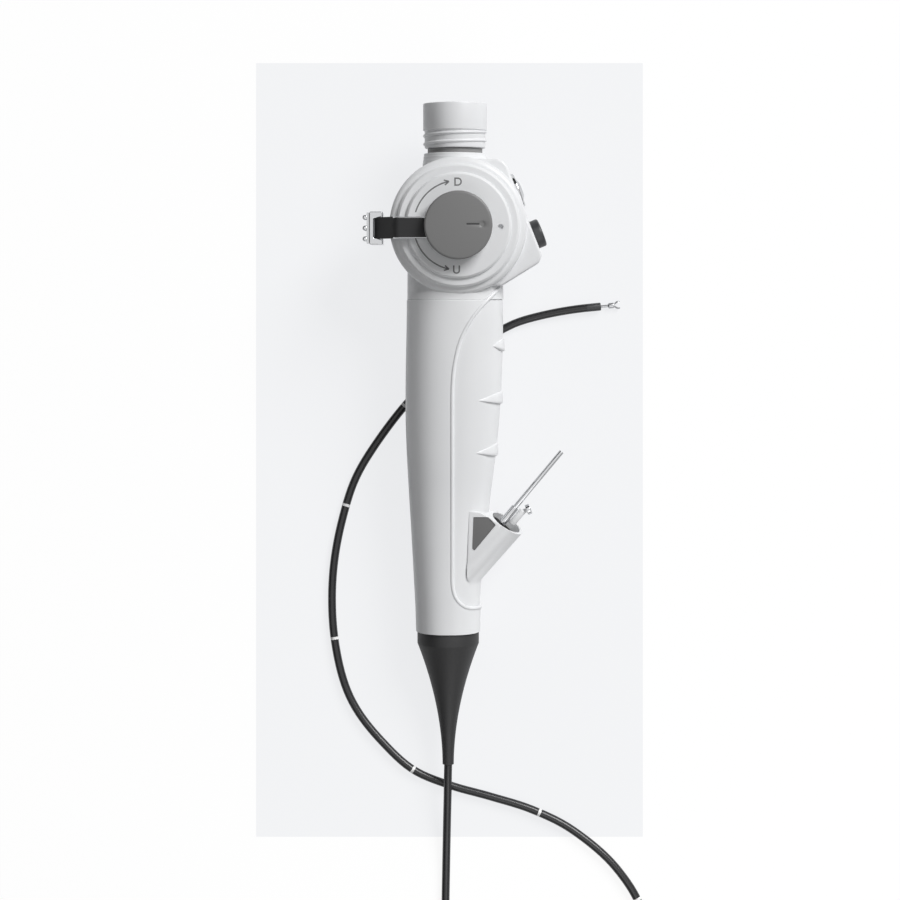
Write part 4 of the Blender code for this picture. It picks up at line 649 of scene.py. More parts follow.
def jaw(name, side):
    """A hollow half egg whose rim faces the other jaw, with teeth round the rim and a flat tang."""
    shape = bmesh.new()
    around, down = 28, 8
    middle, half_length, half_width = (JAW_LENGTH + JAW_TANG) / 2, (JAW_LENGTH - JAW_TANG) / 2, 0.72
    rows = []
    for j in range(down):
        lean = (pi / 2) * j / down
        row = []
        for k, angle in enumerate(circle(around)):
            tooth = 0.1 * (k % 2) if j == 0 else 0
            x = middle + half_length * cos(angle) * cos(lean)
            y = side * (JAW_GAP + tooth + half_width * sin(lean))
            row.append(shape.verts.new((x, y, 0.78 * sin(angle) * cos(lean))))
        rows.append(row)
    pole = shape.verts.new((middle, side * (JAW_GAP + half_width), 0))
    skinned(shape, rows, capped=False)
    for k in range(around):
        shape.faces.new((rows[-1][k], rows[-1][(k + 1) % around], pole))
    place = PIN_PLACE @ Matrix.Rotation(side * JAW_OPEN, 4, "Z")
    cup = mesh_piece(name, shape, place)
    wall = cup.modifiers.new("wall", "SOLIDIFY")
    wall.thickness = 0.16 * MM
    wall.offset = -1
    applied(cup)
    level = 0.19 * side
    low, high = (0, 0.62) if side > 0 else (-0.62, 0)
    tang_outline = rounded([(-0.42, -0.42, 0.35), (1.15, low, 0), (1.15, high, 0), (-0.42, 0.42, 0.35)])
    tang = slab("tang", tang_outline, level - 0.13, level + 0.13, place)
    carve(tang, "DIFFERENCE", rod("pin_hole", 0.34, -2, 2, place, 24))
    bpy.ops.object.select_all(action="DESELECT")
    cup.select_set(True)
    tang.select_set(True)
    bpy.context.view_layer.objects.active = cup
    bpy.ops.object.join()
    return cup


upper_cup = dress(jaw("upper_jaw_cup", 1), drawn_steel, "upper_jaw", body="jaw_a")
lower_cup = dress(jaw("lower_jaw_cup", -1), drawn_steel, "lower_jaw", body="jaw_b")

# %% [markdown]
# ## The grip
# The grip's form is a loft: at each height its section is an oval a little squarer than an ellipse,
# and its two sides lean apart because the front is shaped for fingers. The sections were measured
# at fourteen heights. A smooth curve through each measure gives the heights between, so the long
# surface has no kinks and the light runs down it without a break.

# %% Measured sections: height, left side, right side, half depth
GRIP_SECTIONS = [
    (-8.0, -18.6, 16.4, 13.0), (-21.0, -18.7, 16.7, 13.4), (-34.0, -18.8, 17.0, 13.6),
    (-48.0, -19.1, 16.8, 13.8), (-58.0, -19.25, 16.5, 13.9), (-68.0, -19.25, 15.9, 13.9),
    (-78.0, -19.05, 15.0, 13.7), (-88.0, -18.6, 13.9, 13.3), (-98.0, -18.05, 12.6, 12.7),
    (-109.0, -17.4, 11.4, 12.3), (-120.0, -16.8, 10.3, 12.1), (-131.0, -16.2, 9.1, 11.95),
    (-140.0, -15.75, 8.5, 11.9), (-148.8, -15.5, 8.3, 11.9),
]
GRIP_SQUARENESS = 2.25
GRIP_WALL = 2.2
SEAM_HEIGHT = -26.5
SEAM_GAP = 0.03
NECK_INSET = 0.2  # the grip's rounded top edge stands this far proud of the neck
PANEL_INSET = 0.5


def section_at(height):
    """Left side, right side and half depth at any height, on smooth curves through the measures."""
    rows = GRIP_SECTIONS
    i = 0
    while i < len(rows) - 2 and height < rows[i + 1][0]:
        i += 1
    a, b, c, d = rows[max(i - 1, 0)], rows[i], rows[i + 1], rows[min(i + 2, len(rows) - 1)]
    t = (height - b[0]) / (c[0] - b[0])
    found = []
    for n in (1, 2, 3):
        slope_b = (c[n] - a[n]) / (c[0] - a[0]) * (c[0] - b[0])
        slope_c = (d[n] - b[n]) / (d[0] - b[0]) * (c[0] - b[0])
        s, u = t * t, t * t * t
        value = (2 * u - 3 * s + 1) * b[n] + (u - 2 * s + t) * slope_b
        found.append(value + (3 * s - 2 * u) * c[n] + (u - s) * slope_c)
    return found


def grip_point(height, angle, inset=0.0):
    """A point of the grip's surface. Angle 0 is the finger side and 90 degrees the front."""
    left, right, depth = section_at(height)
    across, out = cos(angle), sin(angle)
    power = 2 / GRIP_SQUARENESS
    x = (left + right) / 2 + ((right - left) / 2 - inset) * copysign(abs(across) ** power, across)
    z = (depth - inset) * copysign(abs(out) ** power, out)
    return Vector((x, height, z))


def grip_form(name, inset, top, bottom, edge=0.0):
    """The grip's form, made smaller by inset, between two heights, with its top edge broken."""
    shape = bmesh.new()
    sides, step = 112, 2.5
    count = max(2, round((top - bottom) / step))
    levels = [(top + (bottom - top) * j / count, inset) for j in range(count + 1)]
    if edge:
        levels[:1] = [(top, inset + edge), (top - edge, inset)]
    rings = []
    for height, inward in levels:
        rings.append([shape.verts.new(grip_point(height, a, inward)) for a in circle(sides)])
    skinned(shape, rings)
    return mesh_piece(name, shape, HANDLE)


def grip_cavity():
    """The room inside the grip, to be cut out of a moulding."""
    return grip_form("cavity", GRIP_WALL, SEAM_HEIGHT + 5, GRIP_END - 5)


# %% The finger panel's edge, from the heel of the button block round to the lower right
PANEL_EDGE = [
    (16.6, -21.6), (9.0, -29.1), (4.8, -34.6), (1.6, -40.6), (-0.4, -47.9), (-1.4, -55.5), (-1.6, -64.0),
    (-1.6, -76.0), (-1.6, -90.0), (-1.6, -104.0), (-1.6, -116.0), (-1.6, -124.0), (-1.6, -129.0),
    (-1.3, -132.0), (-0.4, -134.8), (1.4, -137.1), (4.2, -138.6), (9.0, -139.0),
]
HALF_GAP = 0.12


def smooth_edge(points, moved_by):
    """The panel's edge as a smooth line, moved sideways towards the thumb side."""
    line, _ = smooth_path([(x, y, 0) for x, y in points], 1.6)
    shifted = []
    for i, point in enumerate(line):
        ahead = (line[min(i + 1, len(line) - 1)] - line[max(i - 1, 0)]).normalized()
        shifted.append((point.x + ahead.y * moved_by, point.y - ahead.x * moved_by))
    return shifted


def panel_region(name, moved_by):
    border = smooth_edge(PANEL_EDGE, moved_by)
    return slab(name, [*border, (45, border[-1][1]), (45, border[0][1] + 2)], -40, 40, HANDLE)


# %% The thumb side of the grip, hollow, with the panel's place cut out
grip = grip_form("grip_shell_moulding", 0, SEAM_HEIGHT - SEAM_GAP, GRIP_END, edge=0.25)
carve(grip, "DIFFERENCE", grip_cavity(), panel_region("opening", HALF_GAP))
dress(grip, white_abs, "grip_shell")

# %% [markdown]
# ## The finger panel with its ribs and port
# The panel is the same form, half a millimetre lower, kept inside the panel's edge. The port is an
# oval barrel at 49 degrees, trimmed by an outline as seen from the front, with a flat web between
# it and the grip. Each rib is a low shark's fin wrapped round the finger side: it is swept from
# its point on the front, round the side, to its point on the back.

# %% The panel and the port
PORT_MOUTH = (17.8, -108.7, 0)
PORT_ANGLE = radians(48.7)
PORT_HALF_WIDTH = 7.0
PORT_HALF_DEPTH = 11.1
PORT_WALL = 1.2
BORE_DEPTH = 15.0
WEB_HALF_DEPTH = 11.0
PORT = pointing(HANDLE, PORT_MOUTH, PORT_ANGLE)
MOUTH = pointing(HANDLE, PORT_MOUTH, PORT_ANGLE + radians(9), pi / 2 - radians(6))


def port_oval(name, inset, low, high):
    """An oval bar along the port, smaller than the port by inset."""
    return oval_bar(name, PORT_HALF_DEPTH - inset, PORT_HALF_WIDTH - inset, low, high, PORT)


barrel = port_oval("port_barrel", 0, -34, 8)
trim_outline = rounded([(3.3, -90, 0), (3.3, -131.9, 5), (50, -131.9, 0), (50, -90, 0)], arc_step=5)
carve(barrel, "INTERSECT", slab("trim", trim_outline, -30, 30, HANDLE))
web_outline = [
    (3.8, -103.2), (3.3, -124.5), (6.0, -124.5), (14.5, -113.0), (15.5, -108.0), (11.4, -104.2),
]
web = slab("web", web_outline, -WEB_HALF_DEPTH, WEB_HALF_DEPTH, HANDLE, edge=0.5)
for part_of_port in (barrel, web):
    beyond = slab("beyond_mouth", [(-40, -40), (40, -40), (40, 40), (-40, 40)], 0, 40, MOUTH)
    carve(part_of_port, "DIFFERENCE", beyond)
panel = grip_form("finger_panel_moulding", PANEL_INSET, SEAM_HEIGHT - SEAM_GAP, GRIP_END + 5, edge=0.2)
carve(panel, "INTERSECT", panel_region("region", -HALF_GAP))
carve(panel, "UNION", barrel, web)
carve(panel, "DIFFERENCE", port_oval("bore", PORT_WALL, -BORE_DEPTH, 20), grip_cavity())

# %% The windows in the web, and the grey plates in them
WINDOW = [(5.55, -105.5), (11.1, -105.5), (13.75, -108.4), (6.0, -117.8), (5.15, -117.2)]
WINDOW_DEPTH = 0.9
window_corners = [(x, y, 0.35) for x, y in WINDOW]
for side in (1, -1):
    low, high = sorted((side * (WEB_HALF_DEPTH - WINDOW_DEPTH), side * (WEB_HALF_DEPTH + 3)))
    carve(panel, "DIFFERENCE", slab("pocket", rounded(window_corners), low, high, HANDLE))
dress(panel, white_abs, "finger_panel")
middle = Vector((sum(x for x, _ in WINDOW), sum(y for _, y in WINDOW))) / len(WINDOW)
inlay_corners = []
for corner in map(Vector, WINDOW):
    inlay_corners.append((*(corner + (middle - corner).normalized() * 0.12), 0.35))
for side, name in ((1, "near"), (-1, "far")):
    low, high = sorted((side * (WEB_HALF_DEPTH - WINDOW_DEPTH + 0.1), side * (WEB_HALF_DEPTH - 0.25)))
    inlay = slab(f"{name}_window_plate", rounded(inlay_corners), low, high, HANDLE, edge=0.1)
    dress(inlay, dark_abs, f"{name}_window_inlay")

# %% Three finger ribs
FINGER_RIBS = [((12.4, -43.3), -40.5, -45.6), ((7.0, -63.0), -59.9, -64.7), ((6.3, -82.1), -78.8, -83.9)]
RIB_RISE = 0.85
RIB_PROFILE = [
    (0, -0.6), (0.0, 0.1), (0.03, 0.8), (0.1, 1.0), (0.3, 0.97), (0.6, 0.78), (0.88, 0.55), (0.95, 0.42),
    (0.98, 0.1), (1, -0.6),
]


def finger_rib(name, tip, high, low):
    """A fin whose crest is near its lower edge, swept round the finger side of the panel."""
    reach = 1.57  # from the front of the grip, lessened until the fin's point is where it should be
    while grip_point(tip[1], reach, PANEL_INSET).x < tip[0]:
        reach -= 0.005
    shape = bmesh.new()
    rings, steps = [], 60
    side = grip_point(tip[1], 0, PANEL_INSET).x
    for j in range(steps + 1):
        angle = reach * cos(pi * j / steps)
        grown = (grip_point(tip[1], angle, PANEL_INSET).x - tip[0]) / (side - tip[0])
        grown = max(grown, 0.02)
        top, bottom = tip[1] + (high - tip[1]) * grown, tip[1] + (low - tip[1]) * grown
        rise = RIB_RISE * min(1, 1.5 * grown) ** 0.8
        ring = []
        for share, lift in RIB_PROFILE:
            height = bottom + (top - bottom) * share
            foot = grip_point(height, angle, PANEL_INSET)
            left, right, _ = section_at(height)
            centre = Vector(((left + right) / 2, height, 0))
            ring.append(shape.verts.new(foot + (foot - centre).normalized() * lift * rise))
        rings.append(ring)
    skinned(shape, rings)
    return mesh_piece(name, shape, HANDLE, smooth_angle=55)


for k, (tip, high, low) in enumerate(FINGER_RIBS):
    dress(finger_rib(f"finger_rib_{k + 1}", tip, high, low), white_abs)

# %% [markdown]
# ## The raised edge round the finger panel
# Where the shell ends at the panel it stands a little proud, with a rounded lip that catches a fine
# line of light. A thin round bar, laid along the edge and let into the surface, makes that lip. It
# follows the edge down the front, round the bottom, and up the back.

# %% The lip, on the front and on the back
BLOCK_HEEL_Y = -21.8
LIP_RADIUS = 0.75
LIP_PROUD = 0.3


def lip_line(side):
    """Points of the panel's edge on the front (side 1) or the back (side -1) of the shell."""
    line = []
    for x, y in smooth_edge(PANEL_EDGE, LIP_RADIUS * 0.8):
        if y > BLOCK_HEEL_Y:
            continue
        left, right, depth = section_at(y)
        x = min(x, right - LIP_RADIUS + LIP_PROUD)
        share = min(abs((x - (left + right) / 2) / ((right - left) / 2)), 0.999)
        level = (depth - LIP_RADIUS + LIP_PROUD) * (1 - share**GRIP_SQUARENESS) ** (1 / GRIP_SQUARENESS)
        line.append(Vector((x, y, side * level)))
    return line


front, back = lip_line(1), lip_line(-1)
lip = swept("panel_edge_lip", front + back[::-1], LIP_RADIUS, HANDLE, sides=16)
dress(lip, white_abs)

# %% [markdown]
# ## The head
# The head is a round housing with a block for the buttons on the finger side, a neck that runs into
# the grip and a crown for the connector. Each is made with its own rounded edges and then they are
# joined, hollowed, and opened for the axle and the two buttons.

# %% The button block's outline
BLOCK_TOP = 24.0
BLOCK_CORNER = Vector((17.1, BLOCK_TOP))
BLOCK_LOWER_CORNER = Vector((31.4, -12.0))
BLOCK_HEEL = Vector((15.9, -21.6))
BLOCK_HALF_DEPTH = 10.6
BLOCK_WALL = 2.2
FACE_BACK = 0.45  # the slanted face stands this far behind the line of the button rims
FACE_DOWN = (BLOCK_LOWER_CORNER - BLOCK_CORNER).normalized()
FACE_OUT = Vector((-FACE_DOWN.y, FACE_DOWN.x))
FACE_ANGLE = atan2(FACE_OUT.y, FACE_OUT.x)


def button_block(inset):
    """The block's outline, made smaller by inset on its three outer sides."""
    under = (BLOCK_LOWER_CORNER - BLOCK_HEEL).normalized()
    heel = BLOCK_HEEL + Vector((-under.y, under.x)) * inset
    face = BLOCK_CORNER - FACE_OUT * (inset + FACE_BACK)
    gap = face - heel
    reach = (gap.x * FACE_DOWN.y - gap.y * FACE_DOWN.x) / (under.x * FACE_DOWN.y - under.y * FACE_DOWN.x)
    low = heel + under * reach
    top = face + FACE_DOWN * (BLOCK_TOP - inset - face.y) / FACE_DOWN.y
    return rounded(
        [
            (2, BLOCK_TOP - inset, 0), (2, BLOCK_HEEL.y, 0), (heel.x, heel.y, 0),
            (low.x, low.y, max(4 - inset, 0.8)), (top.x, top.y, max(5 - inset, 0.8)),
        ], arc_step=6,
    )


def on_the_face(distance):
    """The frame of a button: its Z points out of the slanted face, this far down from its top."""
    at = BLOCK_CORNER + FACE_DOWN * distance
    return pointing(HANDLE, (at.x, at.y, 0), FACE_ANGLE)


UPPER_BUTTON = on_the_face(11.9)
LOWER_BUTTON = on_the_face(29.2)
print(f"the buttons' face leans {degrees(FACE_ANGLE):.1f} degrees")

# %% The housing, joined and hollowed
HEAD_RADIUS = 24.7
HEAD_NEAR = 14.0
HEAD_FAR = -14.0
NECK_RADIUS = 11.5
NECK_TOP = 26.3
CROWN_FOOT = 12
head = turned(
    "head_moulding",
    [(0, HEAD_NEAR, 0), (HEAD_RADIUS, HEAD_NEAR, 2.0), (HEAD_RADIUS, HEAD_FAR, 0.5), (0, HEAD_FAR, 0)],
    HANDLE, steps=160,
)
block = slab("block", button_block(0), -BLOCK_HALF_DEPTH, BLOCK_HALF_DEPTH, HANDLE, edge=0.9, segments=5)
neck = grip_form("neck", NECK_INSET, -8, SEAM_HEIGHT + SEAM_GAP)
crown_profile = [(0, NECK_TOP, 0)]
for k, wider in enumerate((-0.2, -0.03, 0.13, 0.3)):
    step_top = NECK_TOP - 1.2 * k
    crown_profile.append((NECK_RADIUS + wider, step_top, 0.05 if k else 0.3))
    crown_profile.append((NECK_RADIUS + wider, step_top - 1.1, 0.05))
crown_profile += [(NECK_RADIUS + 0.3, CROWN_FOOT, 0), (0, CROWN_FOOT, 0)]
carve(head, "UNION", block, neck, turned("crown", crown_profile, CONNECTOR, steps=112))
block_room = BLOCK_HALF_DEPTH - BLOCK_WALL
rooms = [
    rod("room", 22.3, HEAD_FAR - 5, HEAD_NEAR - 2.4, HANDLE, 112),
    slab("block_room", button_block(BLOCK_WALL), -block_room, block_room, HANDLE),
    grip_form("neck_room", GRIP_WALL, -8, SEAM_HEIGHT - 5),
    rod("crown_bore", 8.5, 10, 40, CONNECTOR, 64),
    rod("axle_hole", 5.5, 5, 30, HANDLE, 64),
    rod("suction_hole", 5.5, -5, 5, LOWER_BUTTON, 64),
    rod("function_hole", 5.7, -5, 5, UPPER_BUTTON, 64),
]
carve(head, "DIFFERENCE", *rooms)
dress(head, white_abs, "head_housing")

# %% [markdown]
# ## The turned pieces on the head
# The bezel, the dial, the lock knob and the cover are all rings and discs about the axle. Their
# rims are rounded by small radii, which draw the bright circles that the photograph shows.

# %% Bezel and dial
BEZEL_RADIUS = 22.1
DIAL_RADIUS = 19.0
EDGE_CUT = 0.8
bezel_bottom, bezel_top = HEAD_NEAR + 0.05, HEAD_NEAR + 2.2
bezel = turned(
    "dial_bezel_ring",
    [
        (DIAL_RADIUS + 0.02, bezel_top, 0.05), (BEZEL_RADIUS - EDGE_CUT, bezel_top, 0.3),
        (BEZEL_RADIUS, bezel_top - EDGE_CUT, 0.3), (BEZEL_RADIUS, bezel_bottom, 0.05),
        (DIAL_RADIUS + 0.02, bezel_bottom, 0.05),
    ], HANDLE, steps=160, ring=True,
)
dress(bezel, white_abs, "dial_bezel")
DIAL_FACE = HEAD_NEAR + 3.8
dial = turned(
    "dial_disc",
    [
        (6.0, DIAL_FACE, 0.3), (DIAL_RADIUS - EDGE_CUT, DIAL_FACE, 0.25),
        (DIAL_RADIUS, DIAL_FACE - EDGE_CUT, 0.25), (DIAL_RADIUS, bezel_bottom, 0.05),
        (6.0, bezel_bottom, 0.05),
    ], HANDLE, steps=160, ring=True,
)
DIMPLE = (15.2, -0.5)
carve(dial, "DIFFERENCE", rod("dimple", 0.95, DIAL_FACE - 1.3, DIAL_FACE + 1, moved(HANDLE, *DIMPLE), 32))
dress(dial, white_abs, "dial_plate")

# %% [markdown]
# ## The printed marks
# The dial carries two letters, for up and down, each with a curved arrow. They are a thin film of
# grey ink. A letter is a text object turned into a mesh; an arrow is a narrow band along an arc
# with two short strokes at its end.

# %% Letters and arrows
PRINT_LOW, PRINT_HIGH = DIAL_FACE - 0.05, DIAL_FACE + 0.03
PRINT_STROKE = 0.5
ARROW_RADIUS = 15.9


def letter(name, text, size, x, y):
    curve = bpy.data.curves.new(name, "FONT")
    curve.body = text
    curve.size = size
    curve.align_x = "CENTER"
    curve.align_y = "CENTER"
    curve.extrude = (PRINT_HIGH - PRINT_LOW) / 2
    curve.offset = 0.06
    source = linked(name + "_text", curve)
    bpy.context.view_layer.update()
    mesh = bpy.data.meshes.new_from_object(source.evaluated_get(bpy.context.evaluated_depsgraph_get()))
    bpy.data.objects.remove(source, do_unlink=True)
    shape = bmesh.new()
    shape.from_mesh(mesh)
    bmesh.ops.translate(shape, vec=(x, y, (PRINT_LOW + PRINT_HIGH) / 2), verts=shape.verts)
    return mesh_piece(name, shape, HANDLE)


def band(name, points):
    """A flat band of ink, one stroke wide, along the points."""
    left, right = [], []
    for i, point in enumerate(points):
        ahead = (points[min(i + 1, len(points) - 1)] - points[max(i - 1, 0)]).normalized()
        side = Vector((-ahead.y, ahead.x)) * PRINT_STROKE / 2
        left.append(tuple(point + side))
        right.append(tuple(point - side))
    return slab(name, left + right[::-1], PRINT_LOW, PRINT_HIGH, HANDLE)


def arrow(name, start, end):
    """A curved arrow on the dial from one angle to another, in degrees."""
    angles = [radians(start + (end - start) * k / 32) for k in range(33)]
    arc = [Vector((cos(a), sin(a))) * ARROW_RADIUS for a in angles]
    backwards = (arc[-3] - arc[-1]).normalized()
    strokes = [band(name, arc)]
    for turn in (28, -28):
        barb = backwards.copy()
        barb.rotate(Matrix.Rotation(radians(turn), 2))
        strokes.append(band(name + "_barb", [arc[-1], arc[-1] + barb * 1.9]))
    return strokes


ink = [letter("letter_down", "D", 4.1, -0.1, 15.3), letter("letter_up", "U", 4.1, -0.6, -15.9)]
ink += arrow("arrow_down", 163, 102) + arrow("arrow_up", 197, 258)
for mark in ink:
    dress(mark, grey_ink)

# %% The lock knob, with its sunk index line and dot
KNOB_RADIUS = 12.15
knob_low = 20.6
knob_top = knob_low + 3.7
knob = turned(
    "lock_knob_disc",
    [(0, knob_top, 0), (KNOB_RADIUS, knob_top, 0.8), (KNOB_RADIUS, knob_low, 0.25), (0, knob_low, 0)],
    HANDLE, steps=160,
)
index_outline = rounded([(2.9, 0.05, 0.2), (7.5, 0.05, 0.1), (7.5, 0.7, 0.1), (2.9, 0.7, 0.2)])
index_line = slab("index_line", index_outline, knob_top - 0.35, knob_top + 1, HANDLE)
index_dot = turned(
    "index_dot",
    [
        (0, knob_top + 1, 0), (1.35, knob_top + 1, 0), (1.35, knob_top, 0), (0.8, knob_top - 0.25, 0.6),
        (0, knob_top - 0.32, 0),
    ], moved(HANDLE, 8.5, 0.25), steps=48,
)
carve(knob, "DIFFERENCE", index_line, index_dot)
dress(knob, grey_abs, "lock_knob", body="lock")
index_paint = slab("index_line_paint", index_outline, knob_top - 0.4, knob_top - 0.04, HANDLE)
dress(index_paint, dark_paint, body="lock")

# %% The cover behind the head, with its round boss and three screws
cover_top = HEAD_FAR - 0.1
flange = cover_top - 2.6
seat = 5.1
cover_floor = -FOOT_DEPTH + 2.2
cover = turned(
    "far_cover_moulding",
    [
        (0, cover_floor, 0), (seat, cover_floor, 0.1), (seat, cover_top - 2, 0.2),
        (seat + 1.6, cover_top - 2, 0.2), (seat + 1.6, cover_floor, 0.1),
        (FOOT_RADIUS - 2.2, cover_floor, 0.4), (FOOT_RADIUS - 2.2, cover_top, 0.3),
        (HEAD_RADIUS, cover_top, 0.3), (HEAD_RADIUS, flange, 0.9), (FOOT_RADIUS + 1.5, flange, 0.7),
        (FOOT_RADIUS + 1.2, -FOOT_DEPTH + 1.2, 0.3), (FOOT_RADIUS, -FOOT_DEPTH, 0.15),
        (0, -FOOT_DEPTH, 0),
    ], HANDLE, steps=160,
)
SCREWS = [(20.7 * cos(radians(a)), 20.7 * sin(radians(a))) for a in (60, 180, 315)]
for x, y in SCREWS:
    carve(cover, "DIFFERENCE", rod("screw_hole", 1.1, -30, 0, moved(HANDLE, x, y), 24))
dress(cover, white_abs, "far_cover")
screw_head = flange - 0.05
screw_profile = [
    (0, flange + 8, 0), (0.9, flange + 8, 0.2), (0.9, screw_head, 0), (1.7, screw_head, 0.1),
    (1.7, screw_head - 1.0, 0.6), (0, screw_head - 1.25, 0),
]
star = []
for j, angle in enumerate(circle(12)):
    spoke = 0.85 if j % 2 else 0.55
    star.append((spoke * cos(angle), spoke * sin(angle)))
for k, (x, y) in enumerate(SCREWS):
    place = moved(HANDLE, x, y)
    screw = turned(f"cover_screw_{k + 1}_pan_head", screw_profile, place, steps=48)
    carve(screw, "DIFFERENCE", slab("drive", star, screw_head - 2, screw_head - 0.55, place))
    dress(screw, drawn_steel, f"cover_screw_{k + 1}")

# %% [markdown]
# ## The lever
# The lever is one polished bar. It leaves the hub flat, bends down past the rim of the head, and
# carries a bent thumb plate. A thin black sheet on its broad face is a painted dark reflection of
# the polished steel, and its rounded edges are bright. The rubbing side of the thumb plate has three
# bars: one bar, repeated by Geometry Nodes.

# %% Arm, hub and the painted dark reflection on the face
LEVER_LOW, LEVER_HIGH = 18.5, 20.3
ARM_Y, ARM_HALF = -0.85, 3.85
ARM_BEND = -22.2
PAD_INNER, PAD_OUTER, PAD_LIP_X = -30.4, -32.0, -27.2
SIDEWAYS = moved(HANDLE, 0, ARM_Y) @ Matrix.Rotation(pi / 2, 4, "X")
arm_end = PAD_INNER + 0.1
ARM_SLOPE = 1.25
drop = (ARM_BEND - arm_end) * ARM_SLOPE
thick = LEVER_HIGH - LEVER_LOW
arm_profile = rounded(
    [
        (0, LEVER_HIGH, 0), (ARM_BEND, LEVER_HIGH, 3), (arm_end, LEVER_HIGH - drop, 0),
        (arm_end, LEVER_HIGH - drop - thick * 1.6, 0), (ARM_BEND + 0.7, LEVER_LOW, 2), (0, LEVER_LOW, 0),
    ], arc_step=6,
)
arm = slab("lever_arm", arm_profile, -ARM_HALF, ARM_HALF, SIDEWAYS, edge=0.45)
hub = turned(
    "lever_hub",
    [
        (0, LEVER_HIGH, 0), (11.3, LEVER_HIGH, 0.3), (11.3, LEVER_LOW, 0.3), (5.5, LEVER_LOW, 0.2),
        (5.5, 14.7, 0.3), (0, 14.7, 0),
    ], HANDLE, steps=96,
)
carve(arm, "UNION", hub)
carve(arm, "DIFFERENCE", rod("socket", 2.62, 14, LEVER_HIGH - 1, HANDLE, 48))
dress(arm, polished_steel, "angulation_lever", body="lever")
face_end, slant_top = arm_end + 0.1, LEVER_HIGH - 1.2 * ARM_SLOPE
face_profile = rounded(
    [
        (-9, LEVER_HIGH + 0.05, 0), (ARM_BEND - 0.02, LEVER_HIGH + 0.05, 3),
        (face_end, LEVER_HIGH - drop + 0.2, 0), (face_end, LEVER_HIGH - drop - 0.3, 0),
        (ARM_BEND + 0.3, LEVER_HIGH - 0.3, 3), (-9, LEVER_HIGH - 0.3, 0),
    ], arc_step=6,
)
# The black sheet laid on the lever's face is a painted dark reflection of the polished steel
face = slab("lever_face_painted_reflection", face_profile, -ARM_HALF + 0.38, ARM_HALF - 0.38, SIDEWAYS)
# Past the bend the painted dark reflection runs out to both edges of the bar
slant_profile = [
    (ARM_BEND - 1.2, slant_top + 0.16), (face_end, LEVER_HIGH - drop + 0.24),
    (face_end, LEVER_HIGH - drop - 0.9), (ARM_BEND - 1.2, slant_top - 0.9),
]
carve(face, "UNION", slab("slant", slant_profile, -ARM_HALF - 0.02, ARM_HALF + 0.02, SIDEWAYS))
dress(face, painted_dark_reflection, body="lever")

# %% The thumb plate
PAD_TOP, PAD_BOTTOM, PAD_LIP = 5.1, -6.8, 2.4
PAD_LOW, PAD_HIGH = -8.0, 11.5
plate_outline = rounded(
    [
        (PAD_OUTER, PAD_BOTTOM, 0.6), (PAD_LIP_X, PAD_BOTTOM, 0.4),
        (PAD_LIP_X, PAD_BOTTOM + PAD_LIP, 0.4), (PAD_INNER, PAD_BOTTOM + PAD_LIP, 0.5),
        (PAD_INNER, PAD_TOP - PAD_LIP, 0.5), (PAD_LIP_X, PAD_TOP - PAD_LIP, 0.4),
        (PAD_LIP_X, PAD_TOP, 0.4), (PAD_OUTER, PAD_TOP, 0.6),
    ]
)
thumb_plate = slab("thumb_plate_bent", plate_outline, PAD_LOW, PAD_HIGH, HANDLE, edge=0.55)
dress(thumb_plate, polished_steel, "thumb_plate", body="lever")


# %% Geometry Nodes: one thumb bar on each point of a short line
def repeated(name, sizes, build, finish, place):
    """A piece that a node tree makes from named sizes, turned into a plain mesh at its place."""
    tree = bpy.data.node_groups.new(name, "GeometryNodeTree")
    tree.interface.new_socket("Geometry", in_out="OUTPUT", socket_type="NodeSocketGeometry")
    for size_name, (kind, value) in sizes.items():
        tree.interface.new_socket(size_name, in_out="INPUT", socket_type=kind)
    given = tree.nodes.new("NodeGroupInput")
    realised = add(tree, "GeometryNodeRealizeInstances", {"Geometry": build(tree, given.outputs)})
    painted = add(tree, "GeometryNodeSetMaterial", {"Geometry": realised.outputs[0], "Material": finish})
    add(tree, "NodeGroupOutput", {"Geometry": painted.outputs[0]})
    holder = linked(name, bpy.data.meshes.new(name))
    modifier = holder.modifiers.new(name, "NODES")
    modifier.node_group = tree
    for item in tree.interface.items_tree:
        if item.in_out == "INPUT":
            modifier[item.identifier] = sizes[item.name][1]
    applied(holder)
    holder.data.transform(place)
    print(name, "was repeated by nodes:", len(holder.data.polygons), "faces")
    return holder


def thumb_bars(tree, given):
    row = {"Count": given["Bars"], "Start Location": given["First bar"], "Offset": given["Step"]}
    line = add(tree, "GeometryNodeMeshLine", row).outputs[0]
    block = {"Size": given["Bar size"], "Vertices X": 2, "Vertices Y": 2, "Vertices Z": 12}
    bar = add(tree, "GeometryNodeMeshCube", block).outputs[0]
    return add(tree, "GeometryNodeInstanceOnPoints", {"Points": line, "Instance": bar}).outputs[0]


pad_pitch = (PAD_TOP - PAD_BOTTOM) / 3 - 0.1
pad_middle = (PAD_TOP + PAD_BOTTOM) / 2
bar_height = PAD_HIGH - PAD_LOW - 1
first_bar = (PAD_OUTER - 1.5, pad_middle - pad_pitch, (PAD_LOW + PAD_HIGH) / 2)
bar_sizes = {
    "Bars": ("NodeSocketInt", 3),
    "First bar": ("NodeSocketVector", first_bar),
    "Step": ("NodeSocketVector", (0, pad_pitch, 0)),
    "Bar size": ("NodeSocketVector", (2.0, 1.8, bar_height)),
}
bars = repeated("thumb_grip_bars", bar_sizes, thumb_bars, polished_steel, HANDLE)
softened(bars, 0.75, 6, from_degrees=30)
inner, outer, low, high = PAD_OUTER - 0.05, PAD_OUTER - 0.9, PAD_BOTTOM + 0.4, PAD_TOP - 0.4
backing_outline = [(inner, low), (outer, low), (outer, high), (inner, high)]
carve(bars, "UNION", slab("backing", backing_outline, PAD_LOW + 0.5, PAD_HIGH - 0.5, HANDLE, edge=0.15))
dress(bars, polished_steel, "thumb_grip", body="lever")

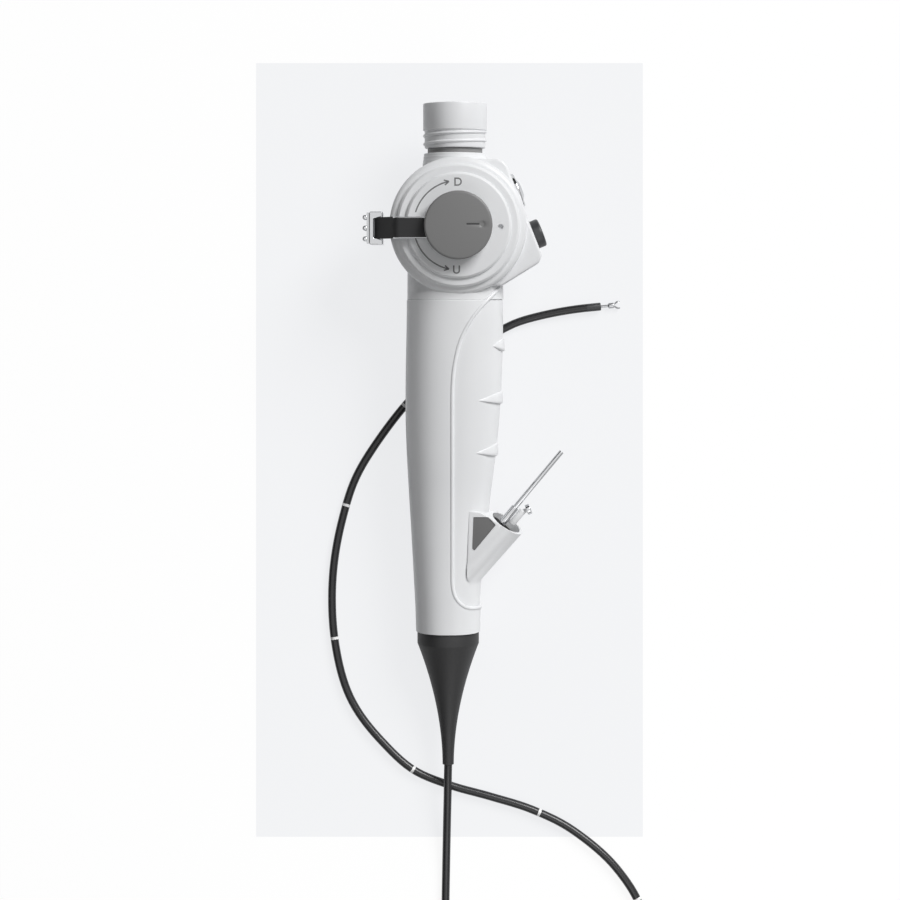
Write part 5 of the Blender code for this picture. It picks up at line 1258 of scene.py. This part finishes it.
# %% [markdown]
# ## The two buttons
# The lower button works the suction valve: a black cap, nearly flat on top. The upper one is a
# polished dome in a polished ring. Both move straight into the slanted face.

# %% Suction button
suction_profile = [(0, 3.15, 0), (3.8, 3.1, 2.0), (5.2, 2.95, 0.9), (5.2, -0.9, 0.1), (0, -0.9, 0)]
suction = turned("suction_button_cap", suction_profile, LOWER_BUTTON, steps=96)
dress(suction, black_pbt, "suction_button", body="suction_valve")

# %% Function button and its ring
ring = turned(
    "function_button_ring",
    [
        (4.8, 0.9, 0.25), (6.4, 0.9, 0.55), (6.4, 0.05 - FACE_BACK, 0.05), (5.4, 0.05 - FACE_BACK, 0),
        (5.4, -2.2, 0.1), (4.8, -2.2, 0.1),
    ], UPPER_BUTTON, steps=96, ring=True,
)
dress(ring, polished_steel, "function_bezel")
dome_profile = [(0, 1.95, 0), (2.6, 1.8, 2.0), (4.5, 0.8, 0.9), (4.5, -1.6, 0.1), (0, -1.6, 0)]
function_cap = turned("function_button_cap", dome_profile, UPPER_BUTTON, steps=96)
dress(function_cap, polished_steel, "function_button", body="function_key")

# %% [markdown]
# ## The video connector
# The collar is a short white tube. Near its lower end a ridge winds round it one and a half times,
# like the start of a thread, for a cap. A ridge follows a rule, so a node tree draws it: a spiral
# line with a small round section along it.

# %% Collar and its silicone ring
COLLAR_LOW, COLLAR_HIGH = 28.2, 44.3
COLLAR_BORE = 9.8
COLLAR_OUTER = 11.6
THREAD_TOP = 34.7
THREAD_CORE = 11.05
collar = turned(
    "connector_collar_tube",
    [
        (COLLAR_BORE, COLLAR_HIGH, 0.35), (COLLAR_OUTER, COLLAR_HIGH, 0.35),
        (COLLAR_OUTER, THREAD_TOP, 0.25), (THREAD_CORE, THREAD_TOP - 0.4, 0.1),
        (THREAD_CORE, COLLAR_LOW, 0.35), (COLLAR_BORE, COLLAR_LOW, 0.1),
    ], CONNECTOR, steps=160, ring=True,
)
dress(collar, white_abs, "connector_collar")
# The seal ring's darker grey is painted shade for the shadowed groove under the collar
gap_profile = [(8.5, 28.15, 0.1), (9.95, 28.15, 0.1), (9.95, 26.35, 0.1), (8.5, 26.35, 0.1)]
gap_ring = turned("collar_gap_ring", gap_profile, CONNECTOR, steps=112, ring=True)
dress(gap_ring, seal_grey_painted_shade, "collar_seal_ring")


# %% Geometry Nodes: a winding ridge
def winding_ridge(tree, given):
    winding = {"Resolution": 96, "Rotations": given["Turns"], "Height": given["Rise"]}
    winding |= {"Start Radius": given["Radius"], "End Radius": given["Radius"]}
    spiral = add(tree, "GeometryNodeCurveSpiral", winding).outputs[0]
    ridge = {"Resolution": 14, "Radius": given["Ridge radius"]}
    section = add(tree, "GeometryNodeCurvePrimitiveCircle", ridge, mode="RADIUS").outputs[0]
    bar = {"Curve": spiral, "Profile Curve": section, "Fill Caps": True}
    return add(tree, "GeometryNodeCurveToMesh", bar).outputs[0]


ridge_sizes = {
    "Turns": ("NodeSocketFloat", 1.5),
    "Radius": ("NodeSocketFloat", THREAD_CORE),
    "Rise": ("NodeSocketFloat", -4.5),
    "Ridge radius": ("NodeSocketFloat", 0.55),
}
ridge_place = moved(CONNECTOR, 0, 0, 34.15)
dress(repeated("collar_ridge", ridge_sizes, winding_ridge, white_abs, ridge_place), white_abs)

# %% [markdown]
# ## The boot
# The soft boot keeps the thin tube from kinking where it leaves the handle. It starts as a straight
# band, and from there its radius falls along a curve, fast at first and then slowly.

# %% The strain relief
BOOT_RADIUS, BOOT_BAND, BOOT_END, BOOT_TAPER = 11.4, 4.3, 2.1, 1.9
boot_top = GRIP_END - 0.05
BOOT_PLUG, BOOT_STEPS = 4, 40
boot_profile = [(0, boot_top + BOOT_PLUG, 0), (9.4, boot_top + BOOT_PLUG, 0.2), (9.4, boot_top, 0)]
boot_profile.append((BOOT_RADIUS, boot_top, 0.3))
for k in range(BOOT_STEPS + 1):
    share = k / BOOT_STEPS
    radius = BOOT_END + (BOOT_RADIUS - BOOT_END) * (1 - share) ** BOOT_TAPER
    height = boot_top - 0.25 - BOOT_BAND - (BOOT_LENGTH - BOOT_BAND) * share
    boot_profile.append((radius, height, 0 if k else 0.6))
boot_low = boot_top - 0.25 - BOOT_LENGTH
boot_profile += [(TUBE_RADIUS, boot_low, 0), (0, boot_low, 0)]
boot = turned("strain_relief_boot", boot_profile, TAIL, steps=112)
dress(boot, black_elastomer, "strain_relief")

# %% [markdown]
# ## What is in the port
# A grey liner and a black seal fill the oval port. Through them comes the stiff end of an
# instrument: a sleeve with a steel tube in it, and beside it a small side port with a clamp knob.

# %% Liner and seal
SEAL_INSET = 2.45
liner = port_oval("port_liner_cup", PORT_WALL + 0.15, -13.5, -1.5)
liner_room = port_oval("liner_room", 2.3, -11.2, 5)
carve(liner, "DIFFERENCE", liner_room, rod("liner_hole", 1.2, -30, 5, PORT, 32), grip_cavity())
dress(liner, dark_abs, "port_liner")
INSTRUMENT_ANGLE = radians(50.3)
INSTRUMENT_AT = Vector((17.0, -108.0, 0))
INSTRUMENT = pointing(HANDLE, INSTRUMENT_AT, INSTRUMENT_ANGLE)
seal = port_oval("port_seal_disc", SEAL_INSET, -8.3, -7.0)
carve(seal, "DIFFERENCE", rod("seal_hole", 1.45, -30, 10, INSTRUMENT, 48))
dress(seal, black_elastomer, "port_seal")

# %% Sleeve, steel tube, side port and clamp knob
SIDE_PORT_OFF = 2.95
STEM_UP = 6.5
sleeve_profile = [(1.05, 6.5, 0.1), (1.4, 6.5, 0.15), (1.4, -9.6, 0.1), (1.05, -9.6, 0.1)]
sleeve = turned("instrument_sleeve_tube", sleeve_profile, INSTRUMENT, steps=48, ring=True)
dress(sleeve, polished_steel, "instrument_sleeve")
tube_profile = [
    (0.55, 30, 0), (0.55, 33.2, 0.08), (0.95, 33.2, 0.12), (0.95, 1.8, 0.1), (0.55, 1.8, 0), (0.55, 5, 0),
]
steel_tube = turned("instrument_steel_tube", tube_profile, INSTRUMENT, steps=48, ring=True)
dress(steel_tube, polished_steel, "instrument_tube", body="instrument")
barrel_profile = [(0, 7.4, 0), (1.3, 7.4, 0.3), (1.3, 0.8, 0.2), (0, 0.8, 0)]
side_port = turned("side_port_barrel", barrel_profile, moved(INSTRUMENT, 0, -SIDE_PORT_OFF), steps=48)
across = Vector((sin(INSTRUMENT_ANGLE), -cos(INSTRUMENT_ANGLE), 0))
ahead = Vector((cos(INSTRUMENT_ANGLE), sin(INSTRUMENT_ANGLE), 0))
stem_at = INSTRUMENT_AT + across * SIDE_PORT_OFF + ahead * STEM_UP
STEM = pointing(HANDLE, stem_at, radians(22))
carve(side_port, "UNION", rod("stem", 0.8, 0, 1.9, STEM, 32))
dress(side_port, white_abs, "side_port")
clamp_profile = [
    (0, 3.1, 0), (1.0, 3.1, 0.2), (1.2, 3.65, 0.2), (2.0, 3.65, 0.4), (2.0, 2.0, 0.25), (0, 2.0, 0),
]
dress(turned("clamp_knob_cap", clamp_profile, STEM, steps=48), polished_steel, "clamp_knob")

# %% [markdown]
# ## Finishes for the solids that are shown as they are
# What is inside the handle keeps its CAD shape, and gets a finish for what it is made of.

# %% Finishes by node
INSIDE = {
    drawn_steel: [
        "lever_axle", "pull_wire_up", "pull_wire_down", "wire_sheath_up", "wire_sheath_down",
        "suction_valve_stem", "suction_button_spring", "jaw_pin",
    ],
    sintered_bronze: ["near_axle_bush", "far_axle_bush"],
    dark_abs: [
        "wire_drum", "wire_guide", "strain_relief_retainer", "suction_valve_body", "function_switch",
        "contact_carrier",
    ],
    gold_plate: ["contact_pins"],
    solder_mask: ["control_board"],
    fluoropolymer: ["channel_tube"],
}
for finish, names in INSIDE.items():
    for name in names:
        NODES[name].data.materials.clear()
        NODES[name].data.materials.append(finish)
shown = [name for name, node in NODES.items() if not node.hide_render]
print("CAD solids shown as they are:", len(shown), sorted(shown))

# %% [markdown]
# ## The table and the light
# The photograph has a pale grey card on white. The floor takes those two colours straight to the
# camera, and to mirrors, and adds a faint share of real light, so that the object's shadow shows.
# One large soft lamp stands far off at the upper right, which shades the grip from right to left.
# A weak one below lifts the port and the lower grip a little. The world is white, but dim for
# everything that it only lights.

# %% Floor with the pale card
FLOOR_HALF = 3.0
CARD_LOW, CARD_HIGH = Vector((-0.0781, -0.1505)), Vector((0.0674, 0.1405))
floor_shape = bmesh.new()
bmesh.ops.create_grid(floor_shape, x_segments=1, y_segments=1, size=FLOOR_HALF)
floor = mesh_piece("floor", floor_shape, Matrix.Translation((0, 0, -0.0002)))


def seen_directly(tree):
    """1 for what the camera sees itself, in a mirror or through glass, and 0 for what only lights."""
    rays = add(tree, "ShaderNodeLightPath").outputs
    mirrored = reckoned(tree, "MAXIMUM", rays["Is Camera Ray"], rays["Is Glossy Ray"])
    return reckoned(tree, "MAXIMUM", mirrored, rays["Is Transmission Ray"])


def table_surface():
    """The floor's two colours for camera and mirrors, and a pale grey paint for all other light."""
    finish, tree, shader = new_finish("painted_table", Roughness=0.9, Base_Color=linear("#B2B3B5"))
    where = add(tree, "ShaderNodeTexCoord").outputs["Object"]
    parts = add(tree, "ShaderNodeSeparateXYZ", {0: where}).outputs
    inside = 1.0
    for axis, low, high in (("X", CARD_LOW.x, CARD_HIGH.x), ("Y", CARD_LOW.y, CARD_HIGH.y)):
        off = reckoned(tree, "SUBTRACT", parts[axis], (low + high) / 2)
        near = reckoned(tree, "LESS_THAN", reckoned(tree, "ABSOLUTE", off), (high - low) / 2)
        inside = reckoned(tree, "MULTIPLY", near, inside)
    colour = mixed(tree, inside, linear("#FFFFFF"), linear("#F2F3F5"))
    glow = add(tree, "ShaderNodeEmission", {"Color": colour, "Strength": 0.9}).outputs[0]
    faint = add(tree, "ShaderNodeBsdfDiffuse", {"Color": (0.12, 0.12, 0.12, 1)}).outputs[0]
    shown_floor = add(tree, "ShaderNodeAddShader", {0: glow, 1: faint}).outputs[0]
    choice = {0: seen_directly(tree), 1: shader.outputs[0], 2: shown_floor}
    surface = add(tree, "ShaderNodeMixShader", choice).outputs[0]
    tree.links.new(surface, tree.nodes["Material Output"].inputs["Surface"])
    return finish


floor.data.materials.append(table_surface())

# %% World: white all round, with a dark zone between table and zenith that only mirrors see
world = bpy.data.worlds.new("soft_room")
bpy.context.scene.world = world
world.use_nodes = True
room = world.node_tree
AMBIENT = 0.16
GAP_MIDDLE, GAP_HALF = 0.33, 0.42
GAP_SIDE = (-0.6, 0.8, 0)
direction = add(room, "ShaderNodeTexCoord").outputs["Generated"]
height = add(room, "ShaderNodeSeparateXYZ", {0: direction}).outputs["Z"]
in_gap = reckoned(room, "COMPARE", height, GAP_MIDDLE, GAP_HALF)
facing = add(room, "ShaderNodeVectorMath", {0: direction, 1: GAP_SIDE}, operation="DOT_PRODUCT")
darker_side = {
    "Value": facing.outputs["Value"], "From Min": -0.3, "From Max": 0.4, "To Min": 0.6, "To Max": 0.96,
}
darkness = add(room, "ShaderNodeMapRange", darker_side).outputs[0]
glossy = add(room, "ShaderNodeLightPath").outputs["Is Glossy Ray"]
lost = reckoned(room, "MULTIPLY", reckoned(room, "MULTIPLY", in_gap, glossy), darkness)
levels = {"Value": seen_directly(room), "To Min": AMBIENT, "To Max": 1.0}
level = add(room, "ShaderNodeMapRange", levels).outputs[0]
background = room.nodes["Background"]
background.inputs["Color"].default_value = linear("#FFFFFF")
room.links.new(reckoned(room, "SUBTRACT", level, lost), background.inputs["Strength"])


def soft_lamp(name, place, target, size, watts):
    """A square lamp, with its place and size in metres, that faces the target."""
    lamp = bpy.data.lights.new(name, "AREA")
    lamp.size = size
    lamp.energy = watts
    holder = linked(name, lamp)
    holder.location = place
    holder.rotation_euler = (Vector(place) - Vector(target)).to_track_quat("Z", "Y").to_euler()


soft_lamp("key", (1.9, 2.15, 2.3), (0, 0, 0), 1.75, 127.0)
soft_lamp("fill", (0.15, -0.4, 0.4), (0.02, -0.03, 0.02), 0.35, 0.5)
bpy.context.scene.view_settings.view_transform = "Standard"
